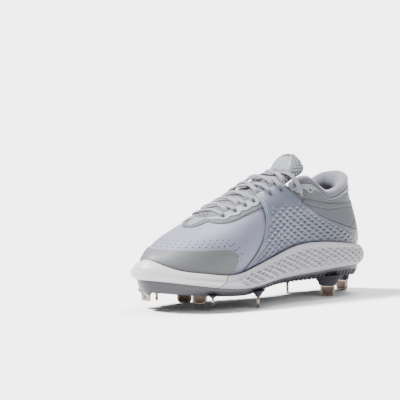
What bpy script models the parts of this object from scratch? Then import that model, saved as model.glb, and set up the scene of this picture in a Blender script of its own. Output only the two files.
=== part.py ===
"""A left baseball cleat with metal spikes, built as a maker would put it together.

Metres, +X from heel to toe, +Y to the lateral (outer) side, +Z up. The origin is on the floor under the
middle of the midsole's outline. Every curved piece comes from one last: a ring of stations that runs from
the heel along the lateral side to the toe and back along the medial side.
"""

import functools
import math

import bmesh
import bpy
import numpy as np
from mathutils import Matrix, Vector

MM = 0.001

# Sizes of the sole
LENGTH = 300 * MM
WIDTH = 106 * MM
UNDER_HEIGHT = 30 * MM
RIM_HEIGHT = 56 * MM
FOOTBED_HEIGHT = 44 * MM
UNDER_INSET = 6.5 * MM
FEATHER_INSET = 9 * MM
LIP = 2.6 * MM
BULGE_AT = 0.5
PLATE_DEPTH = 12 * MM
PLATE_TAPER = 3.5 * MM
PLATE_WAIST = (0.25, 0.55)
BUMPER_WALL = 3.2 * MM
BUMPER_RIM = 1.2 * MM
BUMPER_GAP_ROWS = 0.045
JOINT_ROW = 8.38
JOINT_GAP_ROWS = 0.012
JOINT_ROOM_ROWS = 0.1
JOINT_SLANT = 0.34
INSOLE_THICKNESS = 4.5 * MM
EDGE_ROUND = 0.8 * MM

# Sizes of the upper
TOP_HEIGHT = 118 * MM
WALL = 1.8 * MM
MARGIN = 12 * MM
OVERLAY = 0.9 * MM
SADDLE = 1.4 * MM
COLLAR_BAND = 8 * MM
COLLAR_DEPTH = 32 * MM
COLLAR_PAD = 8.5 * MM
COLLAR_END_PAD = 0.2
COLLAR_END_DEPTH = 1.4
COLLAR_FADE_ROWS = 1.6
PAD_END_ROW = 4.75
PAD_BLEND_ROWS = 0.3
PAD_STOP_ROWS = 0.06
GAP = 0.3 * MM
SEAT = 0.55 * MM

# Sizes of the tongue, laces and eyelets
TONGUE_WIDTH = 52 * MM
TONGUE_THICKNESS = 5 * MM
TONGUE_RISE = 42 * MM
TONGUE_TUCK = 14 * MM
TONGUE_THIN = 0.6
TONGUE_FULL = 1.5
TONGUE_SIDE = 0.25
TONGUE_PUFF = 0.35
LACE_WIDTH = 5.6 * MM
LACE_THICKNESS = 3.0 * MM
LACE_STEP = 0.25
LACE_LIFT = 0.9 * MM
LACE_TUCK = 2 * MM
LACE_UNDER = 0.4 * LACE_THICKNESS
LACE_UP = (0.42, 0, 0.91)
EYELET_RADIUS = 2.1 * MM
EYELET_INSET = 6.5 * MM
EYELET_ROD = 14 * MM
EYELET_SIDES = 6

# Sizes of the spikes and their bosses
SPIKE_DROP = 10.5 * MM
SPIKE_WIDTH = 14.8 * MM
SPIKE_THICKNESS = 2.4 * MM
SPIKE_CORNER = 4 * MM
SPIKE_FOOT = 0.96
BOSS_TOP = (25 * MM, 14 * MM)
BOSS_FOOT = (17 * MM, 5.4 * MM)
BOSS_ROOT = 2.5 * MM
BOSS_STEP = 1 * MM

# Rows of the tables stand at even steps from heel (0) to toe (12)
ROWS = 12
RING = 2 * ROWS

# The midsole's outline and heights and the plate's depth below it, as shares of LENGTH, WIDTH,
# UNDER_HEIGHT, RIM_HEIGHT, FOOTBED_HEIGHT and PLATE_DEPTH
SOLE_COLUMNS = ("along", "lateral", "medial", "under", "rim", "footbed", "plate")
SOLE_TABLE = (
    (0.000, 0.040, 0.040, 0.900, 0.805, 1.000, 0.75),
    (0.020, 0.236, -0.160, 0.915, 0.822, 1.000, 0.75),
    (0.083, 0.368, -0.292, 0.950, 0.878, 1.000, 0.80),
    (0.183, 0.406, -0.335, 0.950, 0.945, 0.990, 0.75),
    (0.300, 0.400, -0.302, 0.890, 1.000, 0.955, 0.62),
    (0.417, 0.403, -0.278, 0.843, 0.973, 0.887, 0.50),
    (0.533, 0.453, -0.349, 0.790, 0.850, 0.795, 0.45),
    (0.650, 0.500, -0.458, 0.677, 0.722, 0.716, 0.52),
    (0.760, 0.486, -0.500, 0.700, 0.608, 0.693, 0.60),
    (0.860, 0.406, -0.462, 0.823, 0.650, 0.727, 0.74),
    (0.937, 0.264, -0.358, 0.943, 0.714, 0.785, 0.88),
    (0.983, 0.085, -0.222, 1.010, 0.830, 0.840, 0.95),
    (1.000, -0.075, -0.075, 1.030, 0.884, 0.863, 0.95),
)

# The last's top line, collar then ridge, as shares of LENGTH, WIDTH and TOP_HEIGHT, with the shape of the
# wall below it: rise and flare set how it leaves the feather line, reach and drop how it meets the top
LAST_COLUMNS = ("along", "lateral", "medial", "height", "rise", "flare", "flare_in", "reach", "drop")
LAST_TABLE = (
    (0.064, 0.030, 0.030, 1.035, 0.30, 0.075, 0.075, 0.00, 0.38),
    (0.081, 0.165, -0.110, 1.020, 0.30, 0.070, 0.070, 0.00, 0.38),
    (0.138, 0.262, -0.200, 0.950, 0.32, 0.055, 0.055, 0.00, 0.38),
    (0.225, 0.290, -0.230, 0.900, 0.36, 0.045, 0.060, 0.05, 0.36),
    (0.325, 0.245, -0.205, 1.060, 0.46, 0.040, 0.085, 0.20, 0.20),
    (0.400, -0.015, -0.015, 1.000, 0.58, 0.035, 0.115, 0.68, -0.16),
    (0.500, -0.020, -0.020, 0.925, 0.58, 0.030, 0.095, 0.64, -0.07),
    (0.605, -0.030, -0.030, 0.828, 0.58, 0.025, 0.045, 0.65, -0.02),
    (0.700, -0.040, -0.040, 0.742, 0.60, 0.022, 0.025, 0.65, 0.02),
    (0.778, -0.050, -0.050, 0.670, 0.60, 0.022, 0.022, 0.65, 0.08),
    (0.835, -0.058, -0.058, 0.610, 0.58, 0.022, 0.022, 0.63, 0.18),
    (0.862, -0.062, -0.062, 0.573, 0.56, 0.022, 0.022, 0.61, 0.26),
    (0.872, -0.064, -0.064, 0.561, 0.55, 0.022, 0.022, 0.60, 0.30),
)

# The collar's crest at each row, a share of TOP_HEIGHT, then half the throat's opening, a share of WIDTH,
# with the rows where the one gives way to the other, and where the throat's round front lies
CREST_HEIGHT = (1.035, 1.020, 0.950, 0.900, 1.035, 1.000, 0.9, 0.9, 0.9, 0.9, 0.9, 0.9, 0.9)
CREST_ROWS = (3.0, 4.1, 5.1)
THROAT_COLUMNS = ("row", "half_gap")
THROAT_TABLE = ((4.0, 0.236), (4.5, 0.215), (5.0, 0.190), (6.0, 0.168), (7.0, 0.155))
THROAT_CURVE_ROW = 6.9
THROAT_END_ROW = 8.25

# Heights of the side panel's and the heel counter's upper edges, shares of TOP_HEIGHT at each row
PANEL_HEIGHT = (0.505, 0.515, 0.555, 0.625, 0.725, 0.915, 1.15, 1.2, 1.2, 1.2, 1.2, 1.2, 1.2)
COUNTER_HEIGHT = (0.800, 0.790, 0.780, 0.788, 0.830, 0.860, 0.9, 0.9, 0.9, 0.9, 0.9, 0.9, 0.9)
COUNTER_END_ROW = 4.45

# The side panel's front edge stands at one row up high and runs forward to another at the rim
PANEL_FRONT_LOW = 7.6
PANEL_FRONT_HIGH = 6.2
PANEL_SWEEP = 5
PANEL_STILL_ROW = 4.0
PANEL_LOW_SHARE = 0.6
PANEL_LEVELS = (0.0, 0.08, 0.18, 0.32, 0.5, 0.7, 0.86, 1.0)

# Where the side panel climbs over the eyestay, in shares of v below its edge and in rows
CLIMB_START = 0.22
CLIMB = 0.13
CLIMB_ROWS = (0.7, 0.6)

# Width of the band of eyestay beside the throat, and the rows where it wraps round the throat's front
EYESTAY_COLUMNS = ("row", "width")
EYESTAY_TABLE = ((3.3, 0.10), (4.0, 0.13), (5.0, 0.15), (7.0, 0.155), (8.0, 0.155))
EYESTAY_WRAP_ROW = 7.7
EYESTAY_END_ROW = 9.15

# The toe overlay's rounded rear end, and the height of its upper edge as a share of TOP_HEIGHT
TOE_OVERLAY_START = 7.7
TOE_OVERLAY_HEIGHT = 0.50
TOE_OVERLAY_NOSE = 0.62
TOE_OVERLAY_TURN = (0.5, 0.6)
TOE_OVERLAY_LIFT = 0.4 * MM
TOE_OVERLAY_STEPS = (0.0, 0.05, 0.16, 0.35, 0.6)

# Half the tongue's width at table rows, a share of half of TONGUE_WIDTH, then its free top's widths as
# shares of the width where it comes free, and how far it leans back
TONGUE_COLUMNS = ("row", "half_width")
TONGUE_TABLE = ((5.0, 0.56), (5.6, 0.80), (6.5, 1.0), (7.4, 0.9), (9.0, 0.6))
TONGUE_FREE_ROW = 5.0
TONGUE_TOP = (0.95, 1.00, 1.44, 1.70, 1.56, 0.95)
TONGUE_LEAN = math.radians(42)

# Eyelets from the toe up, in table rows; the last has no lace
EYELET_ROWS = (7.7, 7.2, 6.75, 6.4, 5.75, 5.3, 4.42, 4.0)
LACED = 7

# Rows between which the laces lie on the side panel instead of the eyestay, and over how many rows they
# change from one to the other, then the same for the collar
LACE_PANEL_ROWS = (4.85, 6.45)
LACE_PANEL_BLEND = (0.3, 0.2)
LACE_COLLAR_ROW = 5.1

# The collar's section: how far down the wall each corner lies, as shares of COLLAR_BAND and of the pad's
# depth, then how far in, as shares of the pad and of the upper's wall, and how far out
COLLAR_COLUMNS = ("band", "depth", "pad", "wall", "out")
COLLAR_TABLE = (
    (1.00, 0.00, 0.00, 0, 0.2 * MM),
    (0.75, 0.00, 0.00, 0, 1.0 * MM),
    (0.35, 0.00, 0.00, 0, 1.1 * MM),
    (0.00, 0.00, 0.20, 0, 0.0),
    (0.05, 0.00, 0.25, 1, 0.0),
    (0.00, 0.14, 0.75, 1, 0.0),
    (0.00, 0.35, 1.00, 1, 0.0),
    (0.00, 0.65, 0.70, 1, 0.0),
    (0.00, 1.00, 0.00, 1, -0.9 * MM),
    (0.00, 1.00, 0.00, 1, 0.0),
    (0.50, 0.50, 0.00, 1, 0.0),
    (1.00, 0.00, 0.00, 1, 0.0),
)

# Spikes: place as shares of LENGTH and WIDTH from the origin, lift off the floor, turn of the blade in
# degrees, and size of the boss as a share of BOSS_TOP
SPIKE_COLUMNS = ("along", "across", "lift", "turn", "boss")
SPIKE_TABLE = (
    (0.437, -0.160, 9.3 * MM, 64, 0.85),
    (0.393, -0.325, 8.0 * MM, 41, 0.75),
    (0.323, -0.340, 6.0 * MM, 41, 0.85),
    (0.242, -0.017, 2.5 * MM, 131, 1.0),
    (0.187, -0.350, 0.0, 131, 1.0),
    (0.308, 0.311, 6.0 * MM, 41, 1.0),
    (0.125, 0.400, 0.0, 41, 1.0),
    (-0.271, 0.290, 0.0, 131, 1.25),
    (-0.260, -0.180, 0.0, 41, 1.1),
    (-0.453, 0.040, 0.0, 88, 0.85),
)

# Colour, roughness and metallic value of each material
FINISHES = {
    "foam": ((0.72, 0.70, 0.72), 0.62, 0.0),
    "bumper_rubber": ((0.76, 0.75, 0.75), 0.50, 0.0),
    "plate_plastic": ((0.42, 0.42, 0.50), 0.38, 0.0),
    "spike_metal": ((0.62, 0.50, 0.43), 0.28, 1.0),
    "vamp_synthetic": ((0.50, 0.50, 0.57), 0.50, 0.0),
    "panel_synthetic": ((0.36, 0.41, 0.49), 0.48, 0.0),
    "eyestay_synthetic": ((0.58, 0.63, 0.64), 0.60, 0.0),
    "toe_synthetic": ((0.40, 0.42, 0.43), 0.55, 0.0),
    "counter_synthetic": ((0.34, 0.35, 0.37), 0.55, 0.0),
    "collar_textile": ((0.50, 0.49, 0.53), 0.85, 0.0),
    "tongue_mesh": ((0.55, 0.55, 0.60), 0.85, 0.0),
    "lace_cord": ((0.62, 0.61, 0.63), 0.80, 0.0),
    "insole_textile": ((0.42, 0.43, 0.48), 0.90, 0.0),
}


def column(table, names, name):
    """One named column of a table."""
    index = names.index(name)
    return [row[index] for row in table]


def smooth_slopes(values):
    """Slopes at the knots of the closed cubic curve with steady curvature through evenly spaced values."""
    count = len(values)
    matrix = 4 * np.eye(count) + np.roll(np.eye(count), 1, 0) + np.roll(np.eye(count), -1, 0)
    return np.linalg.solve(matrix, 3 * (np.roll(values, -1) - np.roll(values, 1)))


def tight_slopes(values):
    """Slopes at the knots of a closed curve that never swings past its values."""
    ahead = np.roll(values, -1) - values
    behind = values - np.roll(values, 1)
    product = ahead * behind
    total = np.where(ahead + behind == 0, 1, ahead + behind)
    return np.where(product > 0, 2 * product / total, 0)


class Loop:
    """A quantity that runs round the shoe, given at the rows of its lateral and medial sides."""

    def __init__(self, lateral, medial=None, scale=1.0, tight=False):
        medial = lateral if medial is None else medial
        self.values = np.array(list(lateral) + list(medial[-2:0:-1]), float) * scale
        self.slopes = tight_slopes(self.values) if tight else smooth_slopes(self.values)

    def __call__(self, s):
        s = s % RING
        i = int(s)
        t = s - i
        j = (i + 1) % RING
        return (
            self.values[i] * (1 + 2 * t) * (1 - t) ** 2
            + self.slopes[i] * t * (1 - t) ** 2
            + self.values[j] * t * t * (3 - 2 * t)
            + self.slopes[j] * t * t * (t - 1)
        )


def smooth_step(share):
    share = min(1.0, max(0.0, share))
    return share * share * (3 - 2 * share)


def sole_loop(name, scale=1.0):
    return Loop(column(SOLE_TABLE, SOLE_COLUMNS, name), scale=scale)


def last_loop(name, scale=1.0, tight=False):
    return Loop(column(LAST_TABLE, LAST_COLUMNS, name), scale=scale, tight=tight)


def centred(loop):
    """The loop moved and scaled so that its values reach from -0.5 to 0.5."""
    reach = [loop(s) for s in np.linspace(0, RING, 1200)]
    low, high = min(reach), max(reach)
    loop.values = (loop.values - (low + high) / 2) / (high - low)
    loop.slopes = loop.slopes / (high - low)
    return loop


sole_along = centred(sole_loop("along"))
sole_across = centred(
    Loop(column(SOLE_TABLE, SOLE_COLUMNS, "lateral"), column(SOLE_TABLE, SOLE_COLUMNS, "medial"))
)
under = sole_loop("under", UNDER_HEIGHT)
rim = sole_loop("rim", RIM_HEIGHT)
footbed = sole_loop("footbed", FOOTBED_HEIGHT)
plate_depth = sole_loop("plate", PLATE_DEPTH)
top_along = last_loop("along")
top_across = Loop(
    column(LAST_TABLE, LAST_COLUMNS, "lateral"), column(LAST_TABLE, LAST_COLUMNS, "medial"), tight=True
)
top_height = last_loop("height", TOP_HEIGHT, tight=True)
rise = last_loop("rise")
flare = Loop(
    column(LAST_TABLE, LAST_COLUMNS, "flare"), column(LAST_TABLE, LAST_COLUMNS, "flare_in"), scale=WIDTH
)
reach = last_loop("reach", tight=True)
drop = last_loop("drop", tight=True)
panel_height = Loop(PANEL_HEIGHT, scale=TOP_HEIGHT, tight=True)
crest_height = Loop(CREST_HEIGHT, scale=TOP_HEIGHT, tight=True)
counter_height = Loop(COUNTER_HEIGHT, scale=TOP_HEIGHT, tight=True)


def row_of(s):
    """The table row of a place on the ring, counted from the heel on either side."""
    s = s % RING
    return min(s, RING - s)


def outline(s, inset=0.0):
    """A point of the midsole's outline in plan, moved inwards by inset."""
    step = 0.02
    point = np.array([sole_along(s) * LENGTH, sole_across(s) * WIDTH])
    ahead = np.array([sole_along(s + step) * LENGTH, sole_across(s + step) * WIDTH])
    behind = np.array([sole_along(s - step) * LENGTH, sole_across(s - step) * WIDTH])
    tangent = (ahead - behind) / np.linalg.norm(ahead - behind)
    return point + inset * np.array([tangent[1], -tangent[0]])


def solve(measure, low, high, target):
    """Where a quantity that grows from low to high reaches target."""
    for _ in range(28):
        middle_value = (low + high) / 2
        if measure(middle_value) < target:
            low = middle_value
        else:
            high = middle_value
    return (low + high) / 2


@functools.lru_cache(maxsize=None)
def row_at(x):
    """The table row at a distance along the shoe."""
    return solve(lambda row: sole_along(row) * LENGTH, 0.0, float(ROWS), x)


def floor(x):
    """Height of the footbed at a distance along the shoe."""
    return footbed(row_at(round(x, 9)))


@functools.lru_cache(maxsize=None)
def station(s):
    """The four points that shape the last's wall at a place on the ring."""
    foot_plan = outline(s, FEATHER_INSET)
    out_plan = outline(s, FEATHER_INSET - flare(s))
    foot = np.array([*foot_plan, floor(foot_plan[0])])
    top = np.array([(top_along(s) - 0.5) * LENGTH, top_across(s) * WIDTH, top_height(s)])
    height = top[2] - foot[2]
    lower = np.array([*out_plan, foot[2] + rise(s) * height])
    to_wall = np.array([*(out_plan - top[:2]), 0.0])
    upper = top + reach(s) * to_wall - np.array([0, 0, drop(s) * height])
    return foot, lower, upper, top


def bare(s, v):
    """A point of the last's surface: v runs from the feather line (0) to the top line (1)."""
    foot, lower, upper, top = station(s)
    w = 1 - v
    return w**3 * foot + 3 * w * w * v * lower + 3 * w * v * v * upper + v**3 * top


def flat_normal(s, v):
    step_s, step_v = 0.02, 0.01
    along = bare(s + step_s, v) - bare(s - step_s, v)
    up = bare(s, v + step_v) - bare(s, v - step_v)
    normal = np.cross(up, along)
    return normal / np.linalg.norm(normal)


@functools.lru_cache(maxsize=None)
def outward(s, v):
    """The surface's outward direction; on the ridge it is shared by both sides."""
    near_top = 0.96
    if v < near_top or row_of(s) < 5:
        return flat_normal(s, min(v, 0.985))
    shared = flat_normal(s, near_top) + flat_normal(RING - s, near_top)
    shared = shared / np.linalg.norm(shared)
    weight = (v - near_top) / (1 - near_top)
    normal = (1 - weight) * flat_normal(s, near_top) + weight * shared
    return normal / np.linalg.norm(normal)


def skin(s, v, offset=0.0):
    """A point at a distance outside (or, if negative, inside) the last's surface."""
    s = round(s % RING, 9)
    return bare(s, v) + offset * outward(s, round(v, 9))


@functools.lru_cache(maxsize=None)
def v_at_height(s, z):
    return solve(lambda v: bare(s, v)[2], 0.0, 1.0, z)


def middle(s):
    """The y of the ridge's plane at a place on the ring."""
    return (top_across(s) + top_across(RING - s)) / 2 * WIDTH


def v_at_side(s, side):
    """Where the wall is at a given distance from the ridge's plane."""
    centre = middle(s)
    return solve(lambda v: -abs(bare(s, v)[1] - centre), 0.3, 1.0, -side)


def v_below(s, v_top, distance):
    """Where the wall is at a distance below v_top, measured along it."""
    step = 0.02
    v = v_top
    left = distance
    while v > step and left > 0:
        length = np.linalg.norm(bare(s, v) - bare(s, v - step))
        if length >= left:
            return v - step * left / length
        left -= length
        v -= step
    return v


def between(table, place):
    """The value at a place of a two-column table, on straight lines between its rows."""
    places = [row[0] for row in table]
    values = [row[1] for row in table]
    return float(np.interp(place, places, values))


@functools.lru_cache(maxsize=None)
def v_crest(s):
    """The last's v at the collar's crest and along the throat's edge; 1 where the vamp closes."""
    row = row_of(s)
    flat_until, bend_from, bend_to = CREST_ROWS
    if row >= THROAT_END_ROW or row <= flat_until:
        return 1.0
    share = smooth_step((row - bend_from) / (bend_to - bend_from))
    crest = 0.0
    if share < 1:
        crest = v_at_height(s, round(crest_height(s), 9))
    if share == 0:
        return crest
    gap = between(THROAT_TABLE, min(row, THROAT_CURVE_ROW)) * WIDTH
    if row > THROAT_CURVE_ROW:
        front = (row - THROAT_CURVE_ROW) / (THROAT_END_ROW - THROAT_CURVE_ROW)
        gap *= math.sqrt(max(0.0, 1 - front**2.4))
    return crest * (1 - share) + v_at_side(s, gap) * share


@functools.lru_cache(maxsize=None)
def v_edge(s):
    """The upper's own upper edge: below the collar's band at the ankle, the throat's edge further on."""
    row = row_of(s)
    band = (COLLAR_BAND + GAP) * (1 - smooth_step((row - PAD_END_ROW) / PAD_BLEND_ROWS))
    if band < 1e-6:
        return v_crest(s)
    return v_below(s, v_crest(s), band)


def v_rim(s):
    return v_at_height(s, round(rim(s), 9))


def ring_stations(rows):
    """Places on the ring for table rows, on the lateral side and back on the medial side."""
    rows = sorted(rows)
    return [*rows, *[RING - row for row in rows[::-1] if 0 < row < ROWS]]


def even(low, high, count):
    return [low + (high - low) * i / count for i in range(count + 1)]


def eased(low, high, count):
    """Places that crowd towards high, for a curve that turns sharply there."""
    return [low + (high - low) * math.sin(math.pi / 2 * i / count) for i in range(count + 1)]


def clear_scene():
    for thing in list(bpy.data.objects):
        bpy.data.objects.remove(thing)


def new_collection(name, hidden=False):
    made = bpy.data.collections.new(name)
    made.hide_render = hidden
    bpy.context.scene.collection.children.link(made)
    return made


def finish_of(name):
    """The material of a name in FINISHES."""
    found = bpy.data.materials.get(name)
    if found:
        return found
    colour, roughness, metallic = FINISHES[name]
    made = bpy.data.materials.new(name)
    made.use_nodes = True
    shader = made.node_tree.nodes["Principled BSDF"]
    shader.inputs["Base Color"].default_value = (*colour, 1.0)
    shader.inputs["Roughness"].default_value = roughness
    shader.inputs["Metallic"].default_value = metallic
    made.diffuse_color = (*colour, 1.0)
    return made


def place(bm, name, collection, material):
    """Makes a named object from a bmesh, with its doubles merged and its faces pointing out."""
    bmesh.ops.remove_doubles(bm, verts=bm.verts, dist=0.002 * MM)
    bmesh.ops.dissolve_degenerate(bm, edges=bm.edges, dist=0.002 * MM)
    bmesh.ops.recalc_face_normals(bm, faces=bm.faces)
    mesh = bpy.data.meshes.new(name)
    bm.to_mesh(mesh)
    bm.free()
    mesh.shade_smooth()
    mesh.set_sharp_from_angle(angle=math.radians(40))
    made = bpy.data.objects.new(name, mesh)
    collection.objects.link(made)
    if material:
        mesh.materials.append(finish_of(material))
    return made


def skip_none(i, j):
    return False


def loft(sections, closed=True, skip=skip_none, caps=True):
    """A bmesh through sections, each a closed list of points. An open loft gets end caps."""
    bm = bmesh.new()
    rings = [[bm.verts.new(Vector(point)) for point in section] for section in sections]
    count = len(rings)
    size = len(rings[0])
    for i in range(count if closed else count - 1):
        ring, following = rings[i], rings[(i + 1) % count]
        for j in range(size):
            if not skip(i, j):
                k = (j + 1) % size
                bm.faces.new((ring[j], ring[k], following[k], following[j]))
    if not closed and caps:
        bm.faces.new(rings[0])
        bm.faces.new(rings[-1][::-1])
    return bm


def tray(sections, low, high):
    """A closed body from a ring of open sections: strips across the width close its bottom and its top."""
    count = len(sections)
    size = len(sections[0])
    bm = loft(sections, skip=lambda i, j: j == size - 1)
    bm.verts.ensure_lookup_table()
    for j in (low, high):
        edge = [bm.verts[i * size + j] for i in range(count)]
        for i in range(count // 2):
            corners = [edge[i], edge[i + 1], edge[(count - i - 1) % count], edge[(count - i) % count]]
            distinct = list(dict.fromkeys(corners))
            bm.faces.new(distinct)
    return bm


SIDE_HEIGHTS = (0.0, 0.12, 0.3, 0.5, 0.72, 0.9, 1.0)
INNER_SHARES = (1.0, 0.66, 0.33)
SOLE_ROWS = even(0, ROWS, 30)


def slanted(s, share):
    """Leans the sole's stations near the bumper's joint, so that the joint runs back as it rises."""
    row = row_of(s)
    lean = JOINT_SLANT * (0.5 - share) * max(0.0, 1 - abs(row - JOINT_ROW) / 2)
    return s + lean if s % RING < ROWS else s - lean


def sidewall(s, share, sink=0.0):
    """A point of the sole's side, from its lower edge (share 0) to its rim (1), or sunk behind the bumper,
    whose wall thins from BUMPER_WALL to BUMPER_RIM at the rim."""
    s = slanted(s, share)
    z = under(s) + (rim(s) - under(s)) * share
    if share <= BULGE_AT:
        inset = UNDER_INSET * (1 - share / BULGE_AT) ** 2
        return np.array([*outline(s, inset + sink), z])
    weight = ((share - BULGE_AT) / (1 - BULGE_AT)) ** 2
    sink_at_rim = max(0.0, sink - (BUMPER_WALL - BUMPER_RIM))
    lip = skin(s, v_rim(s), SEAT + OVERLAY + SEAT + LIP - sink_at_rim)[:2]
    return np.array([*(outline(s, sink) * (1 - weight) + lip * weight), z])


def shell_inside(s):
    """The midsole's inner wall, from the rim down to the floor, clear of the upper and its overlays."""
    s = slanted(s, 1.0)
    top, room = v_rim(s), SEAT + OVERLAY + SEAT
    points = [skin(s, top * share, room) for share in INNER_SHARES]
    base = outline(s, FEATHER_INSET - room)
    points.append(np.array([*base, floor(base[0]) - GAP]))
    return points


def build_midsole(collection):
    """The foam midsole: a cup with its floor, raised rim and, round the toe, a seat for the bumper."""
    seat = BUMPER_WALL + GAP
    rows = [row for row in SOLE_ROWS if abs(row - JOINT_ROW) > JOINT_ROOM_ROWS]
    rows += [JOINT_ROW - JOINT_GAP_ROWS, JOINT_ROW + JOINT_GAP_ROWS]
    sections = []
    for s in ring_stations(rows):
        sink = seat if row_of(s) > JOINT_ROW else 0.0
        side = [sidewall(s, share, sink) for share in SIDE_HEIGHTS]
        sections.append(side + shell_inside(s))
    bm = tray(sections, 0, len(sections[0]) - 1)
    return place(bm, "midsole", collection, "foam")


def build_bumper(collection):
    """The smooth rubber toe bumper, seated in the midsole's side between two slanted joints."""
    start = JOINT_ROW + BUMPER_GAP_ROWS
    rows = [start] + [row for row in SOLE_ROWS if row > start + JOINT_ROOM_ROWS]
    stations = ring_stations(rows)
    sections = []
    for s in stations:
        outer = [sidewall(s, share) for share in SIDE_HEIGHTS]
        inner = [sidewall(s, share, BUMPER_WALL) for share in SIDE_HEIGHTS[::-1]]
        sections.append(outer + inner)
    bm = loft(sections, closed=False)
    return place(bm, "toe_bumper", collection, "bumper_rubber")


def spike_seat(spike):
    """The height where a blade meets its boss, always below the plate."""
    row = row_at(spike["along"] * LENGTH)
    plate_bottom = under(row) - GAP - plate_depth(row)
    return min(SPIKE_DROP + spike["lift"], plate_bottom - BOSS_STEP)


def build_boss(name, spike, collection):
    """One boss that carries a spike: an oval that narrows down to the blade's seat."""
    x, y = spike["along"] * LENGTH, spike["across"] * WIDTH
    low = spike_seat(spike) + GAP
    high = under(row_at(x)) - BOSS_ROOT
    bm = bmesh.new()
    bmesh.ops.create_cone(bm, cap_ends=True, segments=10, radius1=1, radius2=1, depth=2)
    for vert in bm.verts:
        size, z, share = (BOSS_TOP, high, spike["boss"]) if vert.co.z > 0 else (BOSS_FOOT, low, 1.0)
        vert.co = Vector((vert.co.x * share * size[0] / 2, vert.co.y * share * size[1] / 2, z))
    turn = Matrix.Rotation(math.radians(spike["turn"]), 4, "Z")
    bmesh.ops.transform(bm, matrix=Matrix.Translation((x, y, 0)) @ turn, verts=bm.verts)
    return place(bm, name, collection, None)


def build_plate(collection, cutters):
    """The hard outsole plate under the midsole, with a boss for each spike."""
    sections = []
    for s in ring_stations(SOLE_ROWS):
        z = under(s) - GAP
        top = outline(s, UNDER_INSET)
        waist = outline(s, UNDER_INSET + PLATE_WAIST[0] * PLATE_TAPER)
        low = outline(s, UNDER_INSET + PLATE_TAPER)
        depth = plate_depth(s)
        sections.append([[*top, z], [*waist, z - PLATE_WAIST[1] * depth], [*low, z - depth]])
    plate = place(tray(sections, 0, 2), "outsole_plate", collection, "plate_plastic")
    for number, spike in enumerate(spikes(), 1):
        boss = build_boss(f"boss_{number}", spike, cutters)
        boss.display_type = "WIRE"
        join = plate.modifiers.new(f"join_boss_{number}", "BOOLEAN")
        join.operation = "UNION"
        join.object = boss
    return plate


def spikes():
    return [dict(zip(SPIKE_COLUMNS, row)) for row in SPIKE_TABLE]


def build_spike(number, spike, collection):
    """One spike: a flat metal blade with round lower corners and a thinned foot."""
    steps = 3
    half, corner = SPIKE_WIDTH / 2, SPIKE_CORNER
    foot = half * SPIKE_FOOT
    profile = [(-half, spike_seat(spike) - spike["lift"]), (-foot, corner)]
    for i in range(1, steps + 1):
        angle = math.pi / 2 * i / steps
        profile.append((-foot + corner * (1 - math.cos(angle)), corner * (1 - math.sin(angle))))
    profile += [(-x, z) for x, z in profile[::-1]]
    bm = bmesh.new()
    face = bm.faces.new([bm.verts.new((x, -SPIKE_THICKNESS / 2, z)) for x, z in profile])
    made = bmesh.ops.extrude_face_region(bm, geom=[face])
    far = [item for item in made["geom"] if isinstance(item, bmesh.types.BMVert)]
    bmesh.ops.translate(bm, verts=far, vec=(0, SPIKE_THICKNESS, 0))
    x, y = spike["along"] * LENGTH, spike["across"] * WIDTH
    blade = place(bm, f"spike_{number}", collection, "spike_metal")
    blade.location = (x, y, spike["lift"])
    blade.rotation_euler = (0, 0, math.radians(spike["turn"]))
    return blade


ANKLE_ROWS = even(0, PAD_END_ROW, 11)


def upper_rows():
    """Table rows of the upper's stations, closer together where the throat's front turns."""
    rows = list(ANKLE_ROWS)
    rows += even(PAD_END_ROW, PAD_END_ROW + PAD_BLEND_ROWS, 2)[1:]
    rows += even(PAD_END_ROW + PAD_BLEND_ROWS, THROAT_CURVE_ROW, 4)[1:]
    rows += eased(THROAT_CURVE_ROW, THROAT_END_ROW, 6)[1:]
    rows += even(THROAT_END_ROW, ROWS, 8)[1:]
    return rows


UPPER_LEVELS = (0.0, 0.12, 0.28, 0.46, 0.64, 0.8, 0.92, 1.0)


def build_upper(collection):
    """The upper: one hollow wall, open at the collar and throat and, inside its lasting margin, underneath."""
    stations = ring_stations(upper_rows())
    sections = []
    for s in stations:
        top = v_edge(s)
        outer = [skin(s, top * level) for level in UPPER_LEVELS]
        inner = [skin(s, top * level, -WALL) for level in UPPER_LEVELS[:0:-1]]
        corner = outline(s, FEATHER_INSET + WALL)
        turned = outline(s, FEATHER_INSET + MARGIN)
        low = floor(turned[0])
        margin = [[*corner, floor(corner[0]) + WALL], [*turned, low + WALL], [*turned, low]]
        sections.append(outer + inner + margin)
    edge = len(UPPER_LEVELS) - 1

    def closed_ridge(i, j):
        rows = (row_of(stations[i]), row_of(stations[(i + 1) % len(stations)]))
        return j == edge and min(rows) >= THROAT_END_ROW - 1e-9

    bm = loft(sections, skip=closed_ridge)
    return place(bm, "upper", collection, "vamp_synthetic")


def patch(stations, levels, v_low, v_high, off_in, off_out, ridge=None):
    """A shell over the last between two offsets and two lines of v, over an open run of stations."""
    sections = []
    for s in stations:
        low, high = v_low(s), v_high(s)
        places = [(low + (high - low) * level) for level in levels]
        outer = [skin(s, v, off_out(s, v)) for v in places]
        inner = [skin(s, v, off_in(s, v)) for v in places[::-1]]
        sections.append(outer + inner)
    edge = len(levels) - 1

    def closed_ridge(i, j):
        return ridge is not None and j == edge and min(row_of(stations[i]), row_of(stations[i + 1])) >= ridge

    return loft(sections, closed=False, skip=closed_ridge)


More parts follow.
